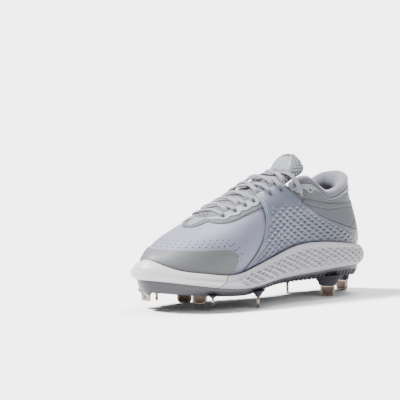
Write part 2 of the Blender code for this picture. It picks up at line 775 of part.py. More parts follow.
def build_collar(collection):
    """The padded collar: a soft roll over the ankle's top line that runs down inside the heel."""
    rows = ANKLE_ROWS[:-1] + [PAD_END_ROW - PAD_STOP_ROWS]
    order = [RING - row for row in rows[::-1]][:-1] + rows
    corners = [dict(zip(COLLAR_COLUMNS, row)) for row in COLLAR_TABLE]
    sections = []
    for s in order:
        fade = smooth_step((PAD_END_ROW - row_of(s)) / COLLAR_FADE_ROWS)
        crest = v_crest(s)
        pad = COLLAR_PAD * (COLLAR_END_PAD + (1 - COLLAR_END_PAD) * fade)
        shallow = COLLAR_BAND * COLLAR_END_DEPTH
        depth = shallow + (COLLAR_DEPTH - shallow) * fade
        section = []
        for corner in corners:
            down = corner["band"] * COLLAR_BAND + corner["depth"] * depth
            offset = corner["out"] - corner["pad"] * pad - corner["wall"] * (WALL + SEAT)
            section.append(skin(s, v_below(s, crest, down), offset))
        sections.append(section)
    bm = loft(sections, closed=False)
    return place(bm, "collar", collection, "collar_textile")


def v_eyestay(s):
    """The eyestay's lower edge."""
    row = row_of(s)
    width = between(EYESTAY_TABLE, row) * WIDTH
    top = v_edge(s)
    low = v_below(s, top, width)
    if row < PAD_END_ROW + 0.05:
        low = max(low, v_at_height(s, round(counter_height(s) + 2 * GAP, 9)))
    if row <= EYESTAY_WRAP_ROW:
        return low
    share = (row - EYESTAY_WRAP_ROW) / (EYESTAY_END_ROW - EYESTAY_WRAP_ROW)
    return low + (1 - low) * (1 - math.sqrt(max(0.0, 1 - share**1.6)))


def eyestay_out(s, v):
    return SEAT + OVERLAY


def build_eyestay(collection):
    """The eyestay: one band round the throat that carries the eyelets."""
    start = EYESTAY_TABLE[0][0]
    rows = [row for row in ANKLE_ROWS if row >= start] + even(PAD_END_ROW, THROAT_CURVE_ROW, 5)[1:]
    rows += eased(THROAT_CURVE_ROW, THROAT_END_ROW, 7)[1:]
    rows += eased(THROAT_END_ROW, EYESTAY_END_ROW - 0.015, 5)[1:]
    levels = (0.0, 0.33, 0.66, 1.0)

    def side(stations):
        return patch(
            stations, levels, v_eyestay, v_edge, lambda s, v: SEAT, eyestay_out, THROAT_END_ROW - 1e-9
        )

    bm = side(rows)
    other = side([RING - row for row in rows])
    mesh = bpy.data.meshes.new("eyestay_medial")
    other.to_mesh(mesh)
    other.free()
    bm.from_mesh(mesh)
    bpy.data.meshes.remove(mesh)
    remove_inner_caps(bm)
    return place(bm, "eyestay", collection, "eyestay_synthetic")


def remove_inner_caps(bm):
    """Merges the two halves on the ridge and takes out any face that lies inside the joined body."""
    bmesh.ops.remove_doubles(bm, verts=bm.verts, dist=0.002 * MM)
    seen = {}
    for face in list(bm.faces):
        key = frozenset(vert.index for vert in face.verts)
        seen.setdefault(key, []).append(face)
    twins = [face for faces in seen.values() if len(faces) > 1 for face in faces]
    bmesh.ops.delete(bm, geom=twins, context="FACES")


def v_panel(s):
    """The side panel's upper edge."""
    return min(v_at_height(s, round(panel_height(s), 9)), v_edge(s))


def over_eyestay(s, v):
    """How far the panel's inner face lies off the last, so that it passes over the eyestay."""
    row = row_of(s)
    first = EYESTAY_TABLE[0][0]
    before, over = CLIMB_ROWS
    if row < first - before:
        return SEAT
    share = smooth_step((v - (v_eyestay(s) - CLIMB_START)) / CLIMB)
    side = smooth_step((row - (first - before)) / over)
    swept = GAP * smooth_step((row - PANEL_FRONT_HIGH) / over)
    return SEAT + swept + (OVERLAY + SEAT - swept) * share * side


def panel_slant(s, share):
    """Leans the panel's stations near its front edge, which sweeps forward as it comes down to the rim."""
    row = row_of(s)
    back = (PANEL_FRONT_LOW - PANEL_FRONT_HIGH) * (1 - (1 - share) ** PANEL_SWEEP)
    moved = row - back * smooth_step((row - PANEL_STILL_ROW) / (PANEL_FRONT_LOW - PANEL_STILL_ROW))
    return moved if s % RING < ROWS else RING - moved


def build_panel(collection):
    """The side panel: a wrap from the saddle on one side, round the heel, to the saddle on the other."""
    rows = ANKLE_ROWS[:-1] + even(PAD_END_ROW, PANEL_FRONT_LOW, 8)
    order = [RING - row for row in rows[::-1]][:-1] + rows
    sections = []
    for s in order:
        outer, inner = [], []
        for level in PANEL_LEVELS:
            leaned = panel_slant(s, level)
            low = v_at_height(leaned, round(rim(leaned) + GAP, 9))
            v = low + (v_panel(leaned) - low) * level
            base = over_eyestay(leaned, v)
            outer.append(skin(leaned, v, base + SADDLE * (PANEL_LOW_SHARE + (1 - PANEL_LOW_SHARE) * level)))
            inner.append(skin(leaned, v, base))
        sections.append(outer + inner[::-1])
    bm = loft(sections, closed=False)
    return place(bm, "side_panel", collection, "panel_synthetic")


def build_counter(collection):
    """The heel counter: a thin wrap between the side panel's upper edge and the collar's mesh band."""
    rows = [row for row in ANKLE_ROWS if row < COUNTER_END_ROW] + [COUNTER_END_ROW]
    order = [RING - row for row in rows[::-1]][:-1] + rows

    def low(s):
        return v_at_height(s, round(panel_height(s) + GAP, 9))

    def high(s):
        return v_at_height(s, round(counter_height(s), 9))

    bm = patch(order, (0.0, 0.5, 1.0), low, high, lambda s, v: SEAT, lambda s, v: SEAT + OVERLAY)
    return place(bm, "heel_counter", collection, "counter_synthetic")


def build_toe_overlay(collection):
    """The toe overlay: a thin wrap over the vamp that stands on the bumper's rim."""
    start = TOE_OVERLAY_START
    rows = [start + step for step in TOE_OVERLAY_STEPS] + even(start + 0.95, ROWS, 9)
    order = rows + [RING - row for row in rows[::-1]][1:]
    low_turn, high_turn = TOE_OVERLAY_TURN

    def low(s):
        base = rim(s) + GAP
        share = min(1.0, max(0.0, (row_of(s) - start) / low_turn))
        lift = TOE_OVERLAY_NOSE * (TOE_OVERLAY_HEIGHT * TOP_HEIGHT - base)
        return v_at_height(s, round(base + lift * (1 - math.sqrt(1 - (1 - share) ** 2)), 9))

    def high(s):
        base = rim(s) + GAP
        share = min(1.0, max(0.0, (row_of(s) - start) / high_turn))
        full = TOE_OVERLAY_HEIGHT * TOP_HEIGHT - base
        grown = TOE_OVERLAY_NOSE + (1 - TOE_OVERLAY_NOSE) * math.sqrt(1 - (1 - share) ** 2)
        return v_at_height(s, round(base + full * grown + TOE_OVERLAY_LIFT * (1 - share), 9))

    bm = patch(order, (0.0, 0.33, 0.66, 1.0), low, high, lambda s, v: SEAT, lambda s, v: SEAT + OVERLAY)
    return place(bm, "toe_overlay", collection, "toe_synthetic")


def eyelet_place(row, side):
    """Where an eyelet lies: its place on the ring and its v."""
    s = row if side > 0 else RING - row
    return s, v_below(s, v_edge(s), EYELET_INSET)


def build_eyelet_cutters(collection, name, rows):
    """A rod through the wall for each eyelet at the given rows."""
    bm = bmesh.new()
    for row in rows:
        for side in (1, -1):
            s, v = eyelet_place(row, side)
            normal = Vector(outward(round(s, 9), round(v, 9)))
            turn = normal.to_track_quat("Z", "Y").to_matrix().to_4x4()
            spot = Matrix.Translation(Vector(skin(s, v))) @ turn
            bmesh.ops.create_cone(
                bm,
                cap_ends=True,
                segments=EYELET_SIDES,
                radius1=EYELET_RADIUS,
                radius2=EYELET_RADIUS,
                depth=EYELET_ROD,
                matrix=spot,
            )
    cutter = place(bm, name, collection, None)
    cutter.display_type = "WIRE"
    return cutter


def cut(target, cutter):
    carve = target.modifiers.new("cut_" + cutter.name, "BOOLEAN")
    carve.operation = "DIFFERENCE"
    carve.object = cutter


def across(row, y, offset):
    """A point over the throat at a table row, y to the lateral side of the ridge."""
    s = row if y >= 0 else RING - row
    v = v_at_side(s, abs(y)) if abs(y) > 0.05 * MM else 1.0
    return skin(s, v, offset)


def build_tongue(collection):
    """The padded tongue: it follows the last under the throat, then stands free above the collar."""
    shares = even(-1, 1, 8)
    under_wall = -(WALL + 2 * SEAT)
    low_row = THROAT_END_ROW + TONGUE_TUCK / (LENGTH / ROWS)
    rows = [low_row] + even(THROAT_END_ROW, TONGUE_FREE_ROW, 9)
    grid = []
    for row in rows:
        half = between(TONGUE_TABLE, row) * TONGUE_WIDTH / 2
        grid.append([across(row, share * half, under_wall) for share in shares])
    middle_at = len(shares) // 2
    centre = grid[-1][middle_at]
    shape = [point - centre for point in grid[-1]]
    heading = centre - grid[-2][middle_at]
    start_angle = math.atan2(heading[2], -heading[0])
    for number, width in enumerate(TONGUE_TOP, 1):
        turn = TONGUE_LEAN * number / len(TONGUE_TOP)
        angle = start_angle + turn
        centre = centre + TONGUE_RISE / len(TONGUE_TOP) * np.array([-math.cos(angle), 0, math.sin(angle)])
        spine = []
        for x, y, z in shape:
            lean_x = x * math.cos(turn) + z * math.sin(turn)
            lean_z = -x * math.sin(turn) + z * math.cos(turn)
            arch = 1 + (width - 1) * 0.5
            spine.append(centre + np.array([lean_x * arch, y * width, lean_z * arch]))
        grid.append(spine)
    sections = []
    grid = np.array(grid)
    for i, line in enumerate(grid):
        ahead = grid[min(i + 1, len(grid) - 1)]
        behind = grid[max(i - 1, 0)]
        free_share = smooth_step((i - len(rows) + 2) / 4)
        thickness = TONGUE_THICKNESS * (TONGUE_THIN + (TONGUE_FULL - TONGUE_THIN) * free_share)
        if i == len(grid) - 1:
            thickness *= TONGUE_THIN
        outer, inner = [], []
        for j, point in enumerate(line):
            sideways = line[min(j + 1, len(shares) - 1)] - line[max(j - 1, 0)]
            normal = np.cross(ahead[j] - behind[j], sideways)
            normal = normal / np.linalg.norm(normal)
            normal = normal if normal[2] > 0 else -normal
            thick = thickness * (1 - (1 - TONGUE_SIDE) * abs(shares[j]) ** 3)
            puff = TONGUE_PUFF * thickness * free_share * (1 - shares[j] ** 2)
            outer.append(point + normal * puff)
            inner.append(point - normal * (thick - puff))
        sections.append(outer + inner[::-1])
    bm = loft(sections, closed=False)
    return place(bm, "tongue", collection, "tongue_mesh")


def build_insole(collection):
    """The insole: it lies on the lasting margin inside the upper."""
    room = WALL + 3 * GAP
    sections = []
    for s in ring_stations(even(0, ROWS, 24)):
        section = []
        for height, inset in ((0.0, 0.0), (INSOLE_THICKNESS - EDGE_ROUND, 0.0), (INSOLE_THICKNESS, EDGE_ROUND)):
            rise_above = WALL + GAP + height
            near = skin(s, v_at_height(s, round(station(s)[0][2] + rise_above, 9)), -room - inset)
            section.append([near[0], near[1], floor(near[0]) + rise_above])
        sections.append(section)
    bm = tray(sections, 0, 2)
    return place(bm, "insole", collection, "insole_textile")


def lace_over(row):
    """How far a lace's middle lies off the last, on the eyestay or on the panel over it."""
    first, last = LACE_PANEL_ROWS
    covered = smooth_step((row - first) / LACE_PANEL_BLEND[0]) * smooth_step((last - row) / LACE_PANEL_BLEND[1])
    over_collar = LACE_UNDER * smooth_step((LACE_COLLAR_ROW - row) / LACE_PANEL_BLEND[0])
    return SEAT + OVERLAY + covered * (SEAT + SADDLE) + over_collar + GAP + LACE_UNDER


def lace_path(start_row, start_side, end_row, lift=0.0, points=7):
    """A strand from one throat edge, over the tongue, to an eyelet on the other side."""
    eyelet_s, eyelet_v = eyelet_place(end_row, -start_side)
    start_s = start_row if start_side > 0 else RING - start_row
    centre = middle(start_row)
    start_y = abs(skin(start_s, v_edge(start_s))[1] - centre) - LACE_TUCK
    end_y = abs(skin(eyelet_s, eyelet_v)[1] - centre) - EYELET_RADIUS
    path = []
    for i in range(points):
        share = i / (points - 1)
        row = start_row + (end_row - start_row) * share
        y = start_side * (start_y - (start_y + end_y) * share)
        rounded = math.sin(math.pi * share)
        path.append(across(row, y, lace_over(row) + LACE_UNDER * (0.35 + rounded) + lift * rounded))
    return path


def strand(path):
    """A flat lace along a path: an oval section with its width lying on the surface."""
    sides = 4
    sections = []
    for i, point in enumerate(path):
        ahead = path[min(i + 1, len(path) - 1)] - path[max(i - 1, 0)]
        ahead = ahead / np.linalg.norm(ahead)
        up = np.array(LACE_UP)
        sideways = np.cross(ahead, up)
        sideways = sideways / np.linalg.norm(sideways)
        up = np.cross(sideways, ahead)
        ring = []
        for k in range(sides):
            angle = 2 * math.pi * (k + 0.5) / sides
            ring.append(
                point
                + sideways * math.cos(angle) * LACE_WIDTH / 2
                + up * math.sin(angle) * LACE_THICKNESS / 2
            )
        sections.append(ring)
    return loft(sections, closed=False)


def build_laces(collection, cutters):
    """The lace over the throat: a bar at the front, then joined crossings up to the top eyelets."""
    first = EYELET_ROWS[0]
    bar = lace_path(first, 1, first)
    place(strand(bar), "lace_bar", collection, "lace_cord")
    for number in range(1, LACED):
        row = EYELET_ROWS[number]
        start = EYELET_ROWS[number - 1] - LACE_STEP
        base = place(strand(lace_path(start, 1, row)), f"lace_cross_{number}", collection, "lace_cord")
        other = place(strand(lace_path(start, -1, row, LACE_LIFT)), f"lace_strand_{number}", cutters, None)
        other.display_type = "WIRE"
        join = base.modifiers.new("join_strand", "BOOLEAN")
        join.operation = "UNION"
        join.object = other


def main():
    clear_scene()
    parts = new_collection("baseball_cleat")
    helpers = new_collection("cutters", hidden=True)
    build_plate(parts, helpers)
    for number, spike in enumerate(spikes(), 1):
        build_spike(number, spike, parts)
    build_midsole(parts)
    build_bumper(parts)
    upper = build_upper(parts)
    build_insole(parts)
    build_collar(parts)
    eyestay = build_eyestay(parts)
    panel = build_panel(parts)
    build_counter(parts)
    build_toe_overlay(parts)
    build_tongue(parts)
    rods = build_eyelet_cutters(helpers, "eyelet_rods", EYELET_ROWS)
    cut(upper, rods)
    cut(eyestay, rods)
    covered = [row for row in EYELET_ROWS if COUNTER_END_ROW < row < PANEL_FRONT_HIGH]
    cut(panel, build_eyelet_cutters(helpers, "panel_rods", covered))
    build_laces(parts, helpers)
    for thing in helpers.objects:
        thing.hide_render = True


main()
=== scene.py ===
"""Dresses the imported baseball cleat: fine surfaces, relief, seams, laces, finishes, light and camera.

Metres, +X from heel to toe, +Y to the lateral side, +Z up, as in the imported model. Every curved piece is a
grid moved onto the last: places run round the shoe from the heel (0) along the lateral side to the toe (12)
and back along the medial side (24), and v runs up the wall from the feather line (0) to the top line (1).
"""

import math

import bmesh
import bpy
import numpy as np
from mathutils import Matrix, Vector


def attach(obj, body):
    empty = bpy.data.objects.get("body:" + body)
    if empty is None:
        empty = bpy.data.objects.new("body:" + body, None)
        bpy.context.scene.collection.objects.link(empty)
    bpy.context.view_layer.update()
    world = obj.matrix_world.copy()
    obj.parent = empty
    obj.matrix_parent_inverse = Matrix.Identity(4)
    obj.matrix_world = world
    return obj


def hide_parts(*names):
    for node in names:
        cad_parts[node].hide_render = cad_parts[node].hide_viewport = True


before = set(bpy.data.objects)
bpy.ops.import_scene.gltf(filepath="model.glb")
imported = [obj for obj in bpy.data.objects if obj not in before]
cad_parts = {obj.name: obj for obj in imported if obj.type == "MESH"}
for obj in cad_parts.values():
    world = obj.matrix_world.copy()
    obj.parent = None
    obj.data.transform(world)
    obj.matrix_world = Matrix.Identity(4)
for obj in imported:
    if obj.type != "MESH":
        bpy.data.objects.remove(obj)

bl_info = {
    "name": "Baseball Cleat",
    "version": (1, 0, 0),
    "blender": (4, 5, 0),
    "location": "View3D > Sidebar > Cleat",
    "description": "Builds the visible surfaces of a left baseball cleat around its packed model",
    "category": "Object",
}

MM = 0.001
BODY = "root"
PATTERN = "Pattern"

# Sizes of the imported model
LENGTH = 300 * MM
WIDTH = 106 * MM
UNDER_HEIGHT = 30 * MM
RIM_HEIGHT = 56 * MM
FOOTBED_HEIGHT = 44 * MM
UNDER_INSET = 6.5 * MM
FEATHER_INSET = 9 * MM
LIP = 2.6 * MM
BULGE_AT = 0.5
PLATE_DEPTH = 12 * MM
PLATE_TAPER = 3.5 * MM
BUMPER_WALL = 3.2 * MM
BUMPER_RIM = 1.2 * MM
TOP_HEIGHT = 118 * MM
WALL = 1.8 * MM
OVERLAY = 0.9 * MM
SADDLE = 1.4 * MM
COLLAR_BAND = 8 * MM
COLLAR_DEPTH = 32 * MM
COLLAR_PAD = 8.5 * MM
GAP = 0.3 * MM
SEAT = 0.55 * MM
ROOM = SEAT + OVERLAY + SEAT
TONGUE_WIDTH = 52 * MM
TONGUE_THICKNESS = 5 * MM
TONGUE_RISE = 42 * MM
TONGUE_TUCK = 14 * MM
EYELET_INSET = 6.5 * MM
SPIKE_DROP = 10.5 * MM
SPIKE_WIDTH = 14.8 * MM
SPIKE_THICKNESS = 2.4 * MM
SPIKE_CORNER = 4 * MM
BOSS_TOP = (25 * MM, 14 * MM)
BOSS_FOOT = (17 * MM, 5.4 * MM)
BOSS_STEP = 1 * MM

ROWS = 12
RING = 2 * ROWS

SOLE_COLUMNS = ("along", "lateral", "medial", "under", "rim", "footbed", "plate")
SOLE_TABLE = (
    (0.000, 0.040, 0.040, 0.900, 0.805, 1.000, 0.75),
    (0.020, 0.236, -0.160, 0.915, 0.822, 1.000, 0.75),
    (0.083, 0.368, -0.292, 0.950, 0.878, 1.000, 0.80),
    (0.183, 0.406, -0.335, 0.950, 0.945, 0.990, 0.75),
    (0.300, 0.400, -0.302, 0.890, 1.000, 0.955, 0.62),
    (0.417, 0.403, -0.278, 0.843, 0.973, 0.887, 0.50),
    (0.533, 0.453, -0.349, 0.790, 0.850, 0.795, 0.45),
    (0.650, 0.500, -0.458, 0.677, 0.722, 0.716, 0.52),
    (0.760, 0.486, -0.500, 0.700, 0.608, 0.693, 0.60),
    (0.860, 0.406, -0.462, 0.823, 0.650, 0.727, 0.74),
    (0.937, 0.264, -0.358, 0.943, 0.714, 0.785, 0.88),
    (0.983, 0.085, -0.222, 1.010, 0.830, 0.840, 0.95),
    (1.000, -0.075, -0.075, 1.030, 0.884, 0.863, 0.95),
)

LAST_COLUMNS = ("along", "lateral", "medial", "height", "rise", "flare", "flare_in", "reach", "drop")
LAST_TABLE = (
    (0.064, 0.030, 0.030, 1.035, 0.30, 0.075, 0.075, 0.00, 0.38),
    (0.081, 0.165, -0.110, 1.020, 0.30, 0.070, 0.070, 0.00, 0.38),
    (0.138, 0.262, -0.200, 0.950, 0.32, 0.055, 0.055, 0.00, 0.38),
    (0.225, 0.290, -0.230, 0.900, 0.36, 0.045, 0.060, 0.05, 0.36),
    (0.325, 0.245, -0.205, 1.060, 0.46, 0.040, 0.085, 0.20, 0.20),
    (0.400, -0.015, -0.015, 1.000, 0.58, 0.035, 0.115, 0.68, -0.16),
    (0.500, -0.020, -0.020, 0.925, 0.58, 0.030, 0.095, 0.64, -0.07),
    (0.605, -0.030, -0.030, 0.828, 0.58, 0.025, 0.045, 0.65, -0.02),
    (0.700, -0.040, -0.040, 0.742, 0.60, 0.022, 0.025, 0.65, 0.02),
    (0.778, -0.050, -0.050, 0.670, 0.60, 0.022, 0.022, 0.65, 0.08),
    (0.835, -0.058, -0.058, 0.610, 0.58, 0.022, 0.022, 0.63, 0.18),
    (0.862, -0.062, -0.062, 0.573, 0.56, 0.022, 0.022, 0.61, 0.26),
    (0.872, -0.064, -0.064, 0.561, 0.55, 0.022, 0.022, 0.60, 0.30),
)

CREST_HEIGHT = (1.035, 1.020, 0.950, 0.900, 1.035, 1.000, 0.9, 0.9, 0.9, 0.9, 0.9, 0.9, 0.9)
CREST_ROWS = (3.0, 4.1, 5.1)
THROAT_TABLE = ((4.0, 0.236), (4.5, 0.215), (5.0, 0.190), (6.0, 0.168), (7.0, 0.155))
THROAT_CURVE_ROW = 6.9
THROAT_END_ROW = 8.25
PANEL_HEIGHT = (0.505, 0.515, 0.555, 0.625, 0.725, 0.915, 1.15, 1.2, 1.2, 1.2, 1.2, 1.2, 1.2)
COUNTER_HEIGHT = (0.800, 0.790, 0.780, 0.788, 0.830, 0.860, 0.9, 0.9, 0.9, 0.9, 0.9, 0.9, 0.9)
COUNTER_END_ROW = 4.45
PANEL_FRONT_LOW = 7.6
PANEL_FRONT_HIGH = 6.2
PANEL_SWEEP = 5
EYESTAY_TABLE = ((3.3, 0.10), (4.0, 0.13), (5.0, 0.15), (7.0, 0.155), (8.0, 0.155))
EYESTAY_WRAP_ROW = 7.7
EYESTAY_END_ROW = 9.15
TOE_OVERLAY_START = 7.7
TOE_OVERLAY_HEIGHT = 0.50
TONGUE_TABLE = ((5.0, 0.80), (5.6, 0.92), (6.5, 1.0), (7.4, 0.9), (9.0, 0.6))
TONGUE_FREE_ROW = 5.0
TONGUE_TOP = (0.90, 0.86, 1.02, 1.19, 1.12, 0.74)
TONGUE_LEAN = math.radians(42)
EYELET_ROWS = (7.7, 7.2, 6.75, 6.4, 5.75, 5.3, 4.42, 4.0)
LACED = 7
LACE_STEP = 0.25
PAD_END_ROW = 4.75
PAD_BLEND_ROWS = 0.3
JOINT_ROW = 8.38
JOINT_SLANT = 0.34

SPIKE_COLUMNS = ("along", "across", "lift", "turn", "boss")
SPIKE_TABLE = (
    (0.437, -0.160, 9.3 * MM, 64, 0.85),
    (0.393, -0.325, 8.0 * MM, 41, 0.75),
    (0.323, -0.340, 6.0 * MM, 41, 0.85),
    (0.242, -0.017, 2.5 * MM, 131, 1.0),
    (0.187, -0.350, 0.0, 131, 1.0),
    (0.308, 0.311, 6.0 * MM, 41, 1.0),
    (0.125, 0.400, 0.0, 41, 1.0),
    (-0.271, 0.290, 0.0, 131, 1.25),
    (-0.260, -0.180, 0.0, 41, 1.1),
    (-0.453, 0.040, 0.0, 88, 0.85),
)


# The last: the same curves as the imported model, for whole arrays of places


def column(table, names, name):
    """One named column of a table."""
    index = names.index(name)
    return [row[index] for row in table]


class Loop:
    """A quantity that runs round the shoe, given at the rows of its lateral and medial sides."""

    def __init__(self, lateral, medial=None, scale=1.0, tight=False):
        medial = lateral if medial is None else medial
        self.values = np.array(list(lateral) + list(medial[-2:0:-1]), float) * scale
        ahead = np.roll(self.values, -1) - self.values
        behind = self.values - np.roll(self.values, 1)
        if tight:
            total = np.where(ahead + behind == 0, 1, ahead + behind)
            self.slopes = np.where(ahead * behind > 0, 2 * ahead * behind / total, 0)
        else:
            count = len(self.values)
            matrix = 4 * np.eye(count) + np.roll(np.eye(count), 1, 0) + np.roll(np.eye(count), -1, 0)
            self.slopes = np.linalg.solve(matrix, 3 * (ahead + behind))

    def __call__(self, s):
        s = np.asarray(s, float) % RING
        i = np.minimum(s.astype(int), RING - 1)
        t = s - i
        j = (i + 1) % RING
        return (
            self.values[i] * (1 + 2 * t) * (1 - t) ** 2
            + self.slopes[i] * t * (1 - t) ** 2
            + self.values[j] * t * t * (3 - 2 * t)
            + self.slopes[j] * t * t * (t - 1)
        )


def smooth_step(share):
    share = np.clip(share, 0.0, 1.0)
    return share * share * (3 - 2 * share)


def sole_loop(name, scale=1.0):
    return Loop(column(SOLE_TABLE, SOLE_COLUMNS, name), scale=scale)


def last_loop(name, scale=1.0, tight=False):
    return Loop(column(LAST_TABLE, LAST_COLUMNS, name), scale=scale, tight=tight)


def centred(loop):
    """The loop moved and scaled so that its values reach from -0.5 to 0.5."""
    found = loop(np.linspace(0, RING, 1200))
    low, high = found.min(), found.max()
    loop.values = (loop.values - (low + high) / 2) / (high - low)
    loop.slopes = loop.slopes / (high - low)
    return loop


sole_along = centred(sole_loop("along"))
sole_across = centred(
    Loop(column(SOLE_TABLE, SOLE_COLUMNS, "lateral"), column(SOLE_TABLE, SOLE_COLUMNS, "medial"))
)
under = sole_loop("under", UNDER_HEIGHT)
rim = sole_loop("rim", RIM_HEIGHT)
footbed = sole_loop("footbed", FOOTBED_HEIGHT)
plate_depth = sole_loop("plate", PLATE_DEPTH)
top_along = last_loop("along")
top_across = Loop(
    column(LAST_TABLE, LAST_COLUMNS, "lateral"), column(LAST_TABLE, LAST_COLUMNS, "medial"), tight=True
)
top_height = last_loop("height", TOP_HEIGHT, tight=True)
rise = last_loop("rise")
flare = Loop(
    column(LAST_TABLE, LAST_COLUMNS, "flare"), column(LAST_TABLE, LAST_COLUMNS, "flare_in"), scale=WIDTH
)
reach = last_loop("reach", tight=True)
drop = last_loop("drop", tight=True)
panel_height = Loop(PANEL_HEIGHT, scale=TOP_HEIGHT, tight=True)
crest_height = Loop(CREST_HEIGHT, scale=TOP_HEIGHT, tight=True)
counter_height = Loop(COUNTER_HEIGHT, scale=TOP_HEIGHT, tight=True)


def row_of(s):
    """The table row of a place on the ring, counted from the heel on either side."""
    s = np.asarray(s, float) % RING
    return np.minimum(s, RING - s)


def lateral(s):
    """Whether a place lies on the lateral side."""
    return np.asarray(s, float) % RING < ROWS


def tabled(work_out):
    """A quantity of the place alone, worked out once at close steps round the ring and read between them."""
    places = np.linspace(0, RING, 2401)
    found = []

    def read(s):
        if not found:
            found.append(work_out(places))
        return np.interp(np.asarray(s, float) % RING, places, found[0])

    return read


def plan_of(s):
    return np.stack([sole_along(s) * LENGTH, sole_across(s) * WIDTH], axis=-1)


def unit(vectors):
    return vectors / np.maximum(np.linalg.norm(vectors, axis=-1, keepdims=True), 1e-12)


def outline(s, inset=0.0):
    """Points of the midsole's outline in plan, moved inwards by inset."""
    step = 0.02
    tangent = unit(plan_of(s + step) - plan_of(s - step))
    inwards = np.stack([tangent[..., 1], -tangent[..., 0]], axis=-1)
    return plan_of(s) + np.broadcast_to(inset, np.shape(s))[..., None] * inwards


SIDE_ROWS = np.linspace(0, ROWS, 2401)
SIDE_X = sole_along(SIDE_ROWS) * LENGTH


def row_at(x):
    """The table row at a distance along the shoe."""
    return np.interp(x, SIDE_X, SIDE_ROWS)


def floor(x):
    """Height of the footbed at a distance along the shoe."""
    return footbed(row_at(x))


def point(plan, z):
    return np.concatenate([plan, np.asarray(z)[..., None]], axis=-1)


def bare(s, v):
    """Points of the last's surface."""
    s, v = np.broadcast_arrays(np.asarray(s, float), np.asarray(v, float))
    foot_plan = outline(s, FEATHER_INSET)
    out_plan = outline(s, FEATHER_INSET - flare(s))
    foot = point(foot_plan, floor(foot_plan[..., 0]))
    top_plan = np.stack([(top_along(s) - 0.5) * LENGTH, top_across(s) * WIDTH], axis=-1)
    top = point(top_plan, top_height(s))
    height = top[..., 2] - foot[..., 2]
    lower = point(out_plan, foot[..., 2] + rise(s) * height)
    upper = point(top_plan + reach(s)[..., None] * (out_plan - top_plan), top[..., 2] - drop(s) * height)
    v = v[..., None]
    w = 1 - v
    return w**3 * foot + 3 * w * w * v * lower + 3 * w * v * v * upper + v**3 * top


def flat_normal(s, v):
    step_s, step_v = 0.02, 0.01
    along = bare(s + step_s, v) - bare(s - step_s, v)
    up = bare(s, v + step_v) - bare(s, v - step_v)
    return unit(np.cross(up, along))


NEAR_TOP = 0.96


def outward(s, v):
    """The surface's outward direction; on the ridge it is shared by both sides."""
    s, v = np.broadcast_arrays(np.asarray(s, float), np.asarray(v, float))
    normal = flat_normal(s, np.minimum(v, 0.985))
    near = (v >= NEAR_TOP) & (row_of(s) >= 5)
    if near.any():
        own = flat_normal(s[near], NEAR_TOP)
        shared = unit(own + flat_normal(RING - s[near], NEAR_TOP))
        weight = ((v[near] - NEAR_TOP) / (1 - NEAR_TOP))[..., None]
        normal[near] = unit((1 - weight) * own + weight * shared)
    return normal


def skin(s, v, offset=0.0):
    """Points at a distance outside (or, if negative, inside) the last's surface."""
    s, v, offset = np.broadcast_arrays(np.asarray(s, float), np.asarray(v, float), np.asarray(offset, float))
    return bare(s, v) + offset[..., None] * outward(s, v)


def solve(measure, low, high, target):
    """Where a quantity that grows from low to high reaches target."""
    low = np.full(np.shape(target), float(low))
    high = np.full(np.shape(target), float(high))
    for _ in range(26):
        middle_value = (low + high) / 2
        below = measure(middle_value) < target
        low = np.where(below, middle_value, low)
        high = np.where(below, high, middle_value)
    return (low + high) / 2


def v_at_height(s, z):
    return solve(lambda v: bare(s, v)[..., 2], 0.0, 1.0, np.broadcast_to(z, np.shape(s)))


def middle(s):
    """The y of the ridge's plane at a place on the ring."""
    return (top_across(s) + top_across(RING - np.asarray(s, float))) / 2 * WIDTH


def v_at_side(s, side):
    """Where the wall is at a given distance from the ridge's plane."""
    centre = middle(s)
    return solve(lambda v: -np.abs(bare(s, v)[..., 1] - centre), 0.3, 1.0, -np.asarray(side))


def v_below(s, v_top, distance):
    """Where the wall is at a distance below v_top, measured along it."""
    s, v_top, distance = np.broadcast_arrays(s, v_top, distance)
    shares = np.linspace(1, 0, 81)
    places = np.repeat(s[:, None], len(shares), axis=1)
    v = v_top[:, None] * shares
    points = bare(places, v)
    steps = np.linalg.norm(np.diff(points, axis=1), axis=-1)
    gone = np.concatenate([np.zeros((len(s), 1)), np.cumsum(steps, axis=1)], axis=1)
    return np.array([np.interp(want, far, line) for want, far, line in zip(distance, gone, v)])


def between(table, place):
    """The value at a place of a two-column table, on straight lines between its rows."""
    return np.interp(place, [row[0] for row in table], [row[1] for row in table])


@tabled
def v_crest(s):
    """The collar's crest and the throat's edge; 1 where the vamp closes."""
    row = row_of(s)
    flat_until, bend_from, bend_to = CREST_ROWS
    share = smooth_step((row - bend_from) / (bend_to - bend_from))
    crest = v_at_height(s, crest_height(s))
    gap = between(THROAT_TABLE, np.minimum(row, THROAT_CURVE_ROW)) * WIDTH
    front = np.clip((row - THROAT_CURVE_ROW) / (THROAT_END_ROW - THROAT_CURVE_ROW), 0, 1)
    side = v_at_side(s, gap * np.sqrt(1 - front**2.4))
    found = crest * (1 - share) + side * share
    return np.where((row >= THROAT_END_ROW - 1e-9) | (row <= flat_until), 1.0, found)


@tabled
def v_edge(s):
    """The upper's own upper edge: below the collar's band at the ankle, the throat's edge further on."""
    row = row_of(s)
    band = (COLLAR_BAND + GAP) * (1 - smooth_step((row - PAD_END_ROW) / PAD_BLEND_ROWS))
    return v_below(s, v_crest(s), band)


@tabled
def v_rim(s):
    return v_at_height(s, rim(s))


@tabled
def v_above_rim(s):
    return v_at_height(s, rim(s) + GAP)


@tabled
def v_counter_low(s):
    return v_at_height(s, panel_height(s) + GAP)


@tabled
def v_counter_high(s):
    return v_at_height(s, counter_height(s))


@tabled
def v_panel(s):
    """The side panel's upper edge."""
    return np.minimum(v_at_height(s, panel_height(s)), v_edge(s))


